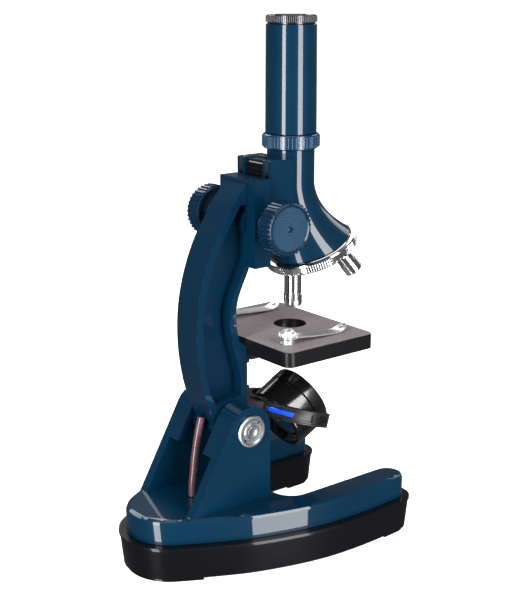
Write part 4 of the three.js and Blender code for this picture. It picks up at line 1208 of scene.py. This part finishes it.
# %% [markdown]
# ## Hinge and clip hardware
# The tilt hinge ends in dished washers with two spanner holes. The clips are held by small
# thumb nuts with a dished top, over a waisted post. Left and right are alike, so each piece has
# a helper of its own, which is called once for each side.

# %% A hinge washer
HINGE_CENTRE = (17.2, 73.4)
WASHER_X = 25.1
SPANNER_HOLE = 0.6
SPANNER_REACH = 4.2


def hinge_washer(side, name):
    """The dished washer outside one ear."""
    washer = lathe("hinge_washer_" + name, [
        (3.65, 0), (8.5, 0), (8.8, 0.3), (8.8, 0.9), (8.4, 1.4), (7.8, 1.6), (7.1, 1.5),
        (6.5, 1.0), (5.0, 0.9), (4.7, 1.3), (4.4, 1.6), (3.65, 1.6),
    ], 96)
    drilled(washer, [(SPANNER_HOLE, (-SPANNER_REACH, SPANNER_REACH, 0), (0, 0, 0)),
                     (SPANNER_HOLE, (SPANNER_REACH, -SPANNER_REACH, 0), (0, 0, 0))])
    placed(washer, (side * WASHER_X, *HINGE_CENTRE), (0, side * 90, 0))
    finish_piece(washer, nut_steel, "base", "hinge_nut_" + name)


# %% A thumb nut and its post
POST_X = 29
POST_Y = -4.3
NUT_SIDES = 64


def thumb_nut(side, name):
    """The fluted nut on top of one clip."""
    nut = lathe("thumb_nut_" + name, [
        (1.4, 110.6), (1.4, 122.4), (3.9, 122.4), (4.15, 122.6), (4.15, 124.6), (3.9, 124.9),
        (3.4, 125.0), (3.4, 125.4), (3.1, 125.7), (2.5, 125.7), (1.9, 125.2), (0.4, 125.1),
    ], NUT_SIDES, capped=True)
    ribs(nut, NUT_SIDES, low=122.6, high=124.6, least=4, edge=0.08, depth=0.35, single=False,
         wanted=lambda i: i % 4 < 2)
    placed(nut, (side * POST_X, POST_Y, 0))
    finish_piece(nut, clip_chrome, "arm", "clip_nut_" + name)


def clip_post(side, name):
    """The waisted post under one clip."""
    post = lathe("clip_post_turned_" + name, [
        (1.65, 118.7), (4, 118.7), (4, 119.1), (3.5, 119.5), (3.5, 120.2), (4, 120.6), (4, 121),
        (1.65, 121),
    ], 64)
    placed(post, (side * POST_X, POST_Y, 0))
    finish_piece(post, clip_chrome, "arm", "clip_post_" + name)


# %% Turn the hardware of both sides and the hinge pin
for side, name in ((-1, "left"), (1, "right")):
    hinge_washer(side, name)
    thumb_nut(side, name)
    clip_post(side, name)

pin = lathe("hinge_pin", [
    (0.6, -27.0), (1.5, -27.0), (2.3, -27.3), (3.0, -27.3), (3.4, -26.9), (3.4, 26.9),
    (3.0, 27.3), (2.3, 27.3), (1.5, 27.0), (0.6, 27.0),
], 64, capped=True)
placed(pin, (0, *HINGE_CENTRE), (0, 90, 0))
finish_piece(pin, nut_steel, "base", "hinge_bolt")


# %% [markdown]
# ## Finishes for the rest of the frame
# What stays from the frame gets its material by the slot that the record names.

# %% Paint what the frame keeps
SLOT_FINISH = {
    "blue_paint": blue_enamel,
    "knob_paint": knob_slate,
    "black_plastic": satin_black,
    "gloss_black": drum_black,
    "stage_coat": stage_coat,
    "chrome": chrome,
    "steel": zinc,
    "clear_glass": clear_glass,
    "frosted_glass": frosted_glass,
    "mirror": mirror,
    "blue_plastic": bright_blue,
    "cell_wrap": cell_wrap,
    "lead_skin": lead_skin,
}
for row in frame["record"]["subparts"]:
    paint(frame["nodes"][row["node"]], SLOT_FINISH[row["material_slot"]])
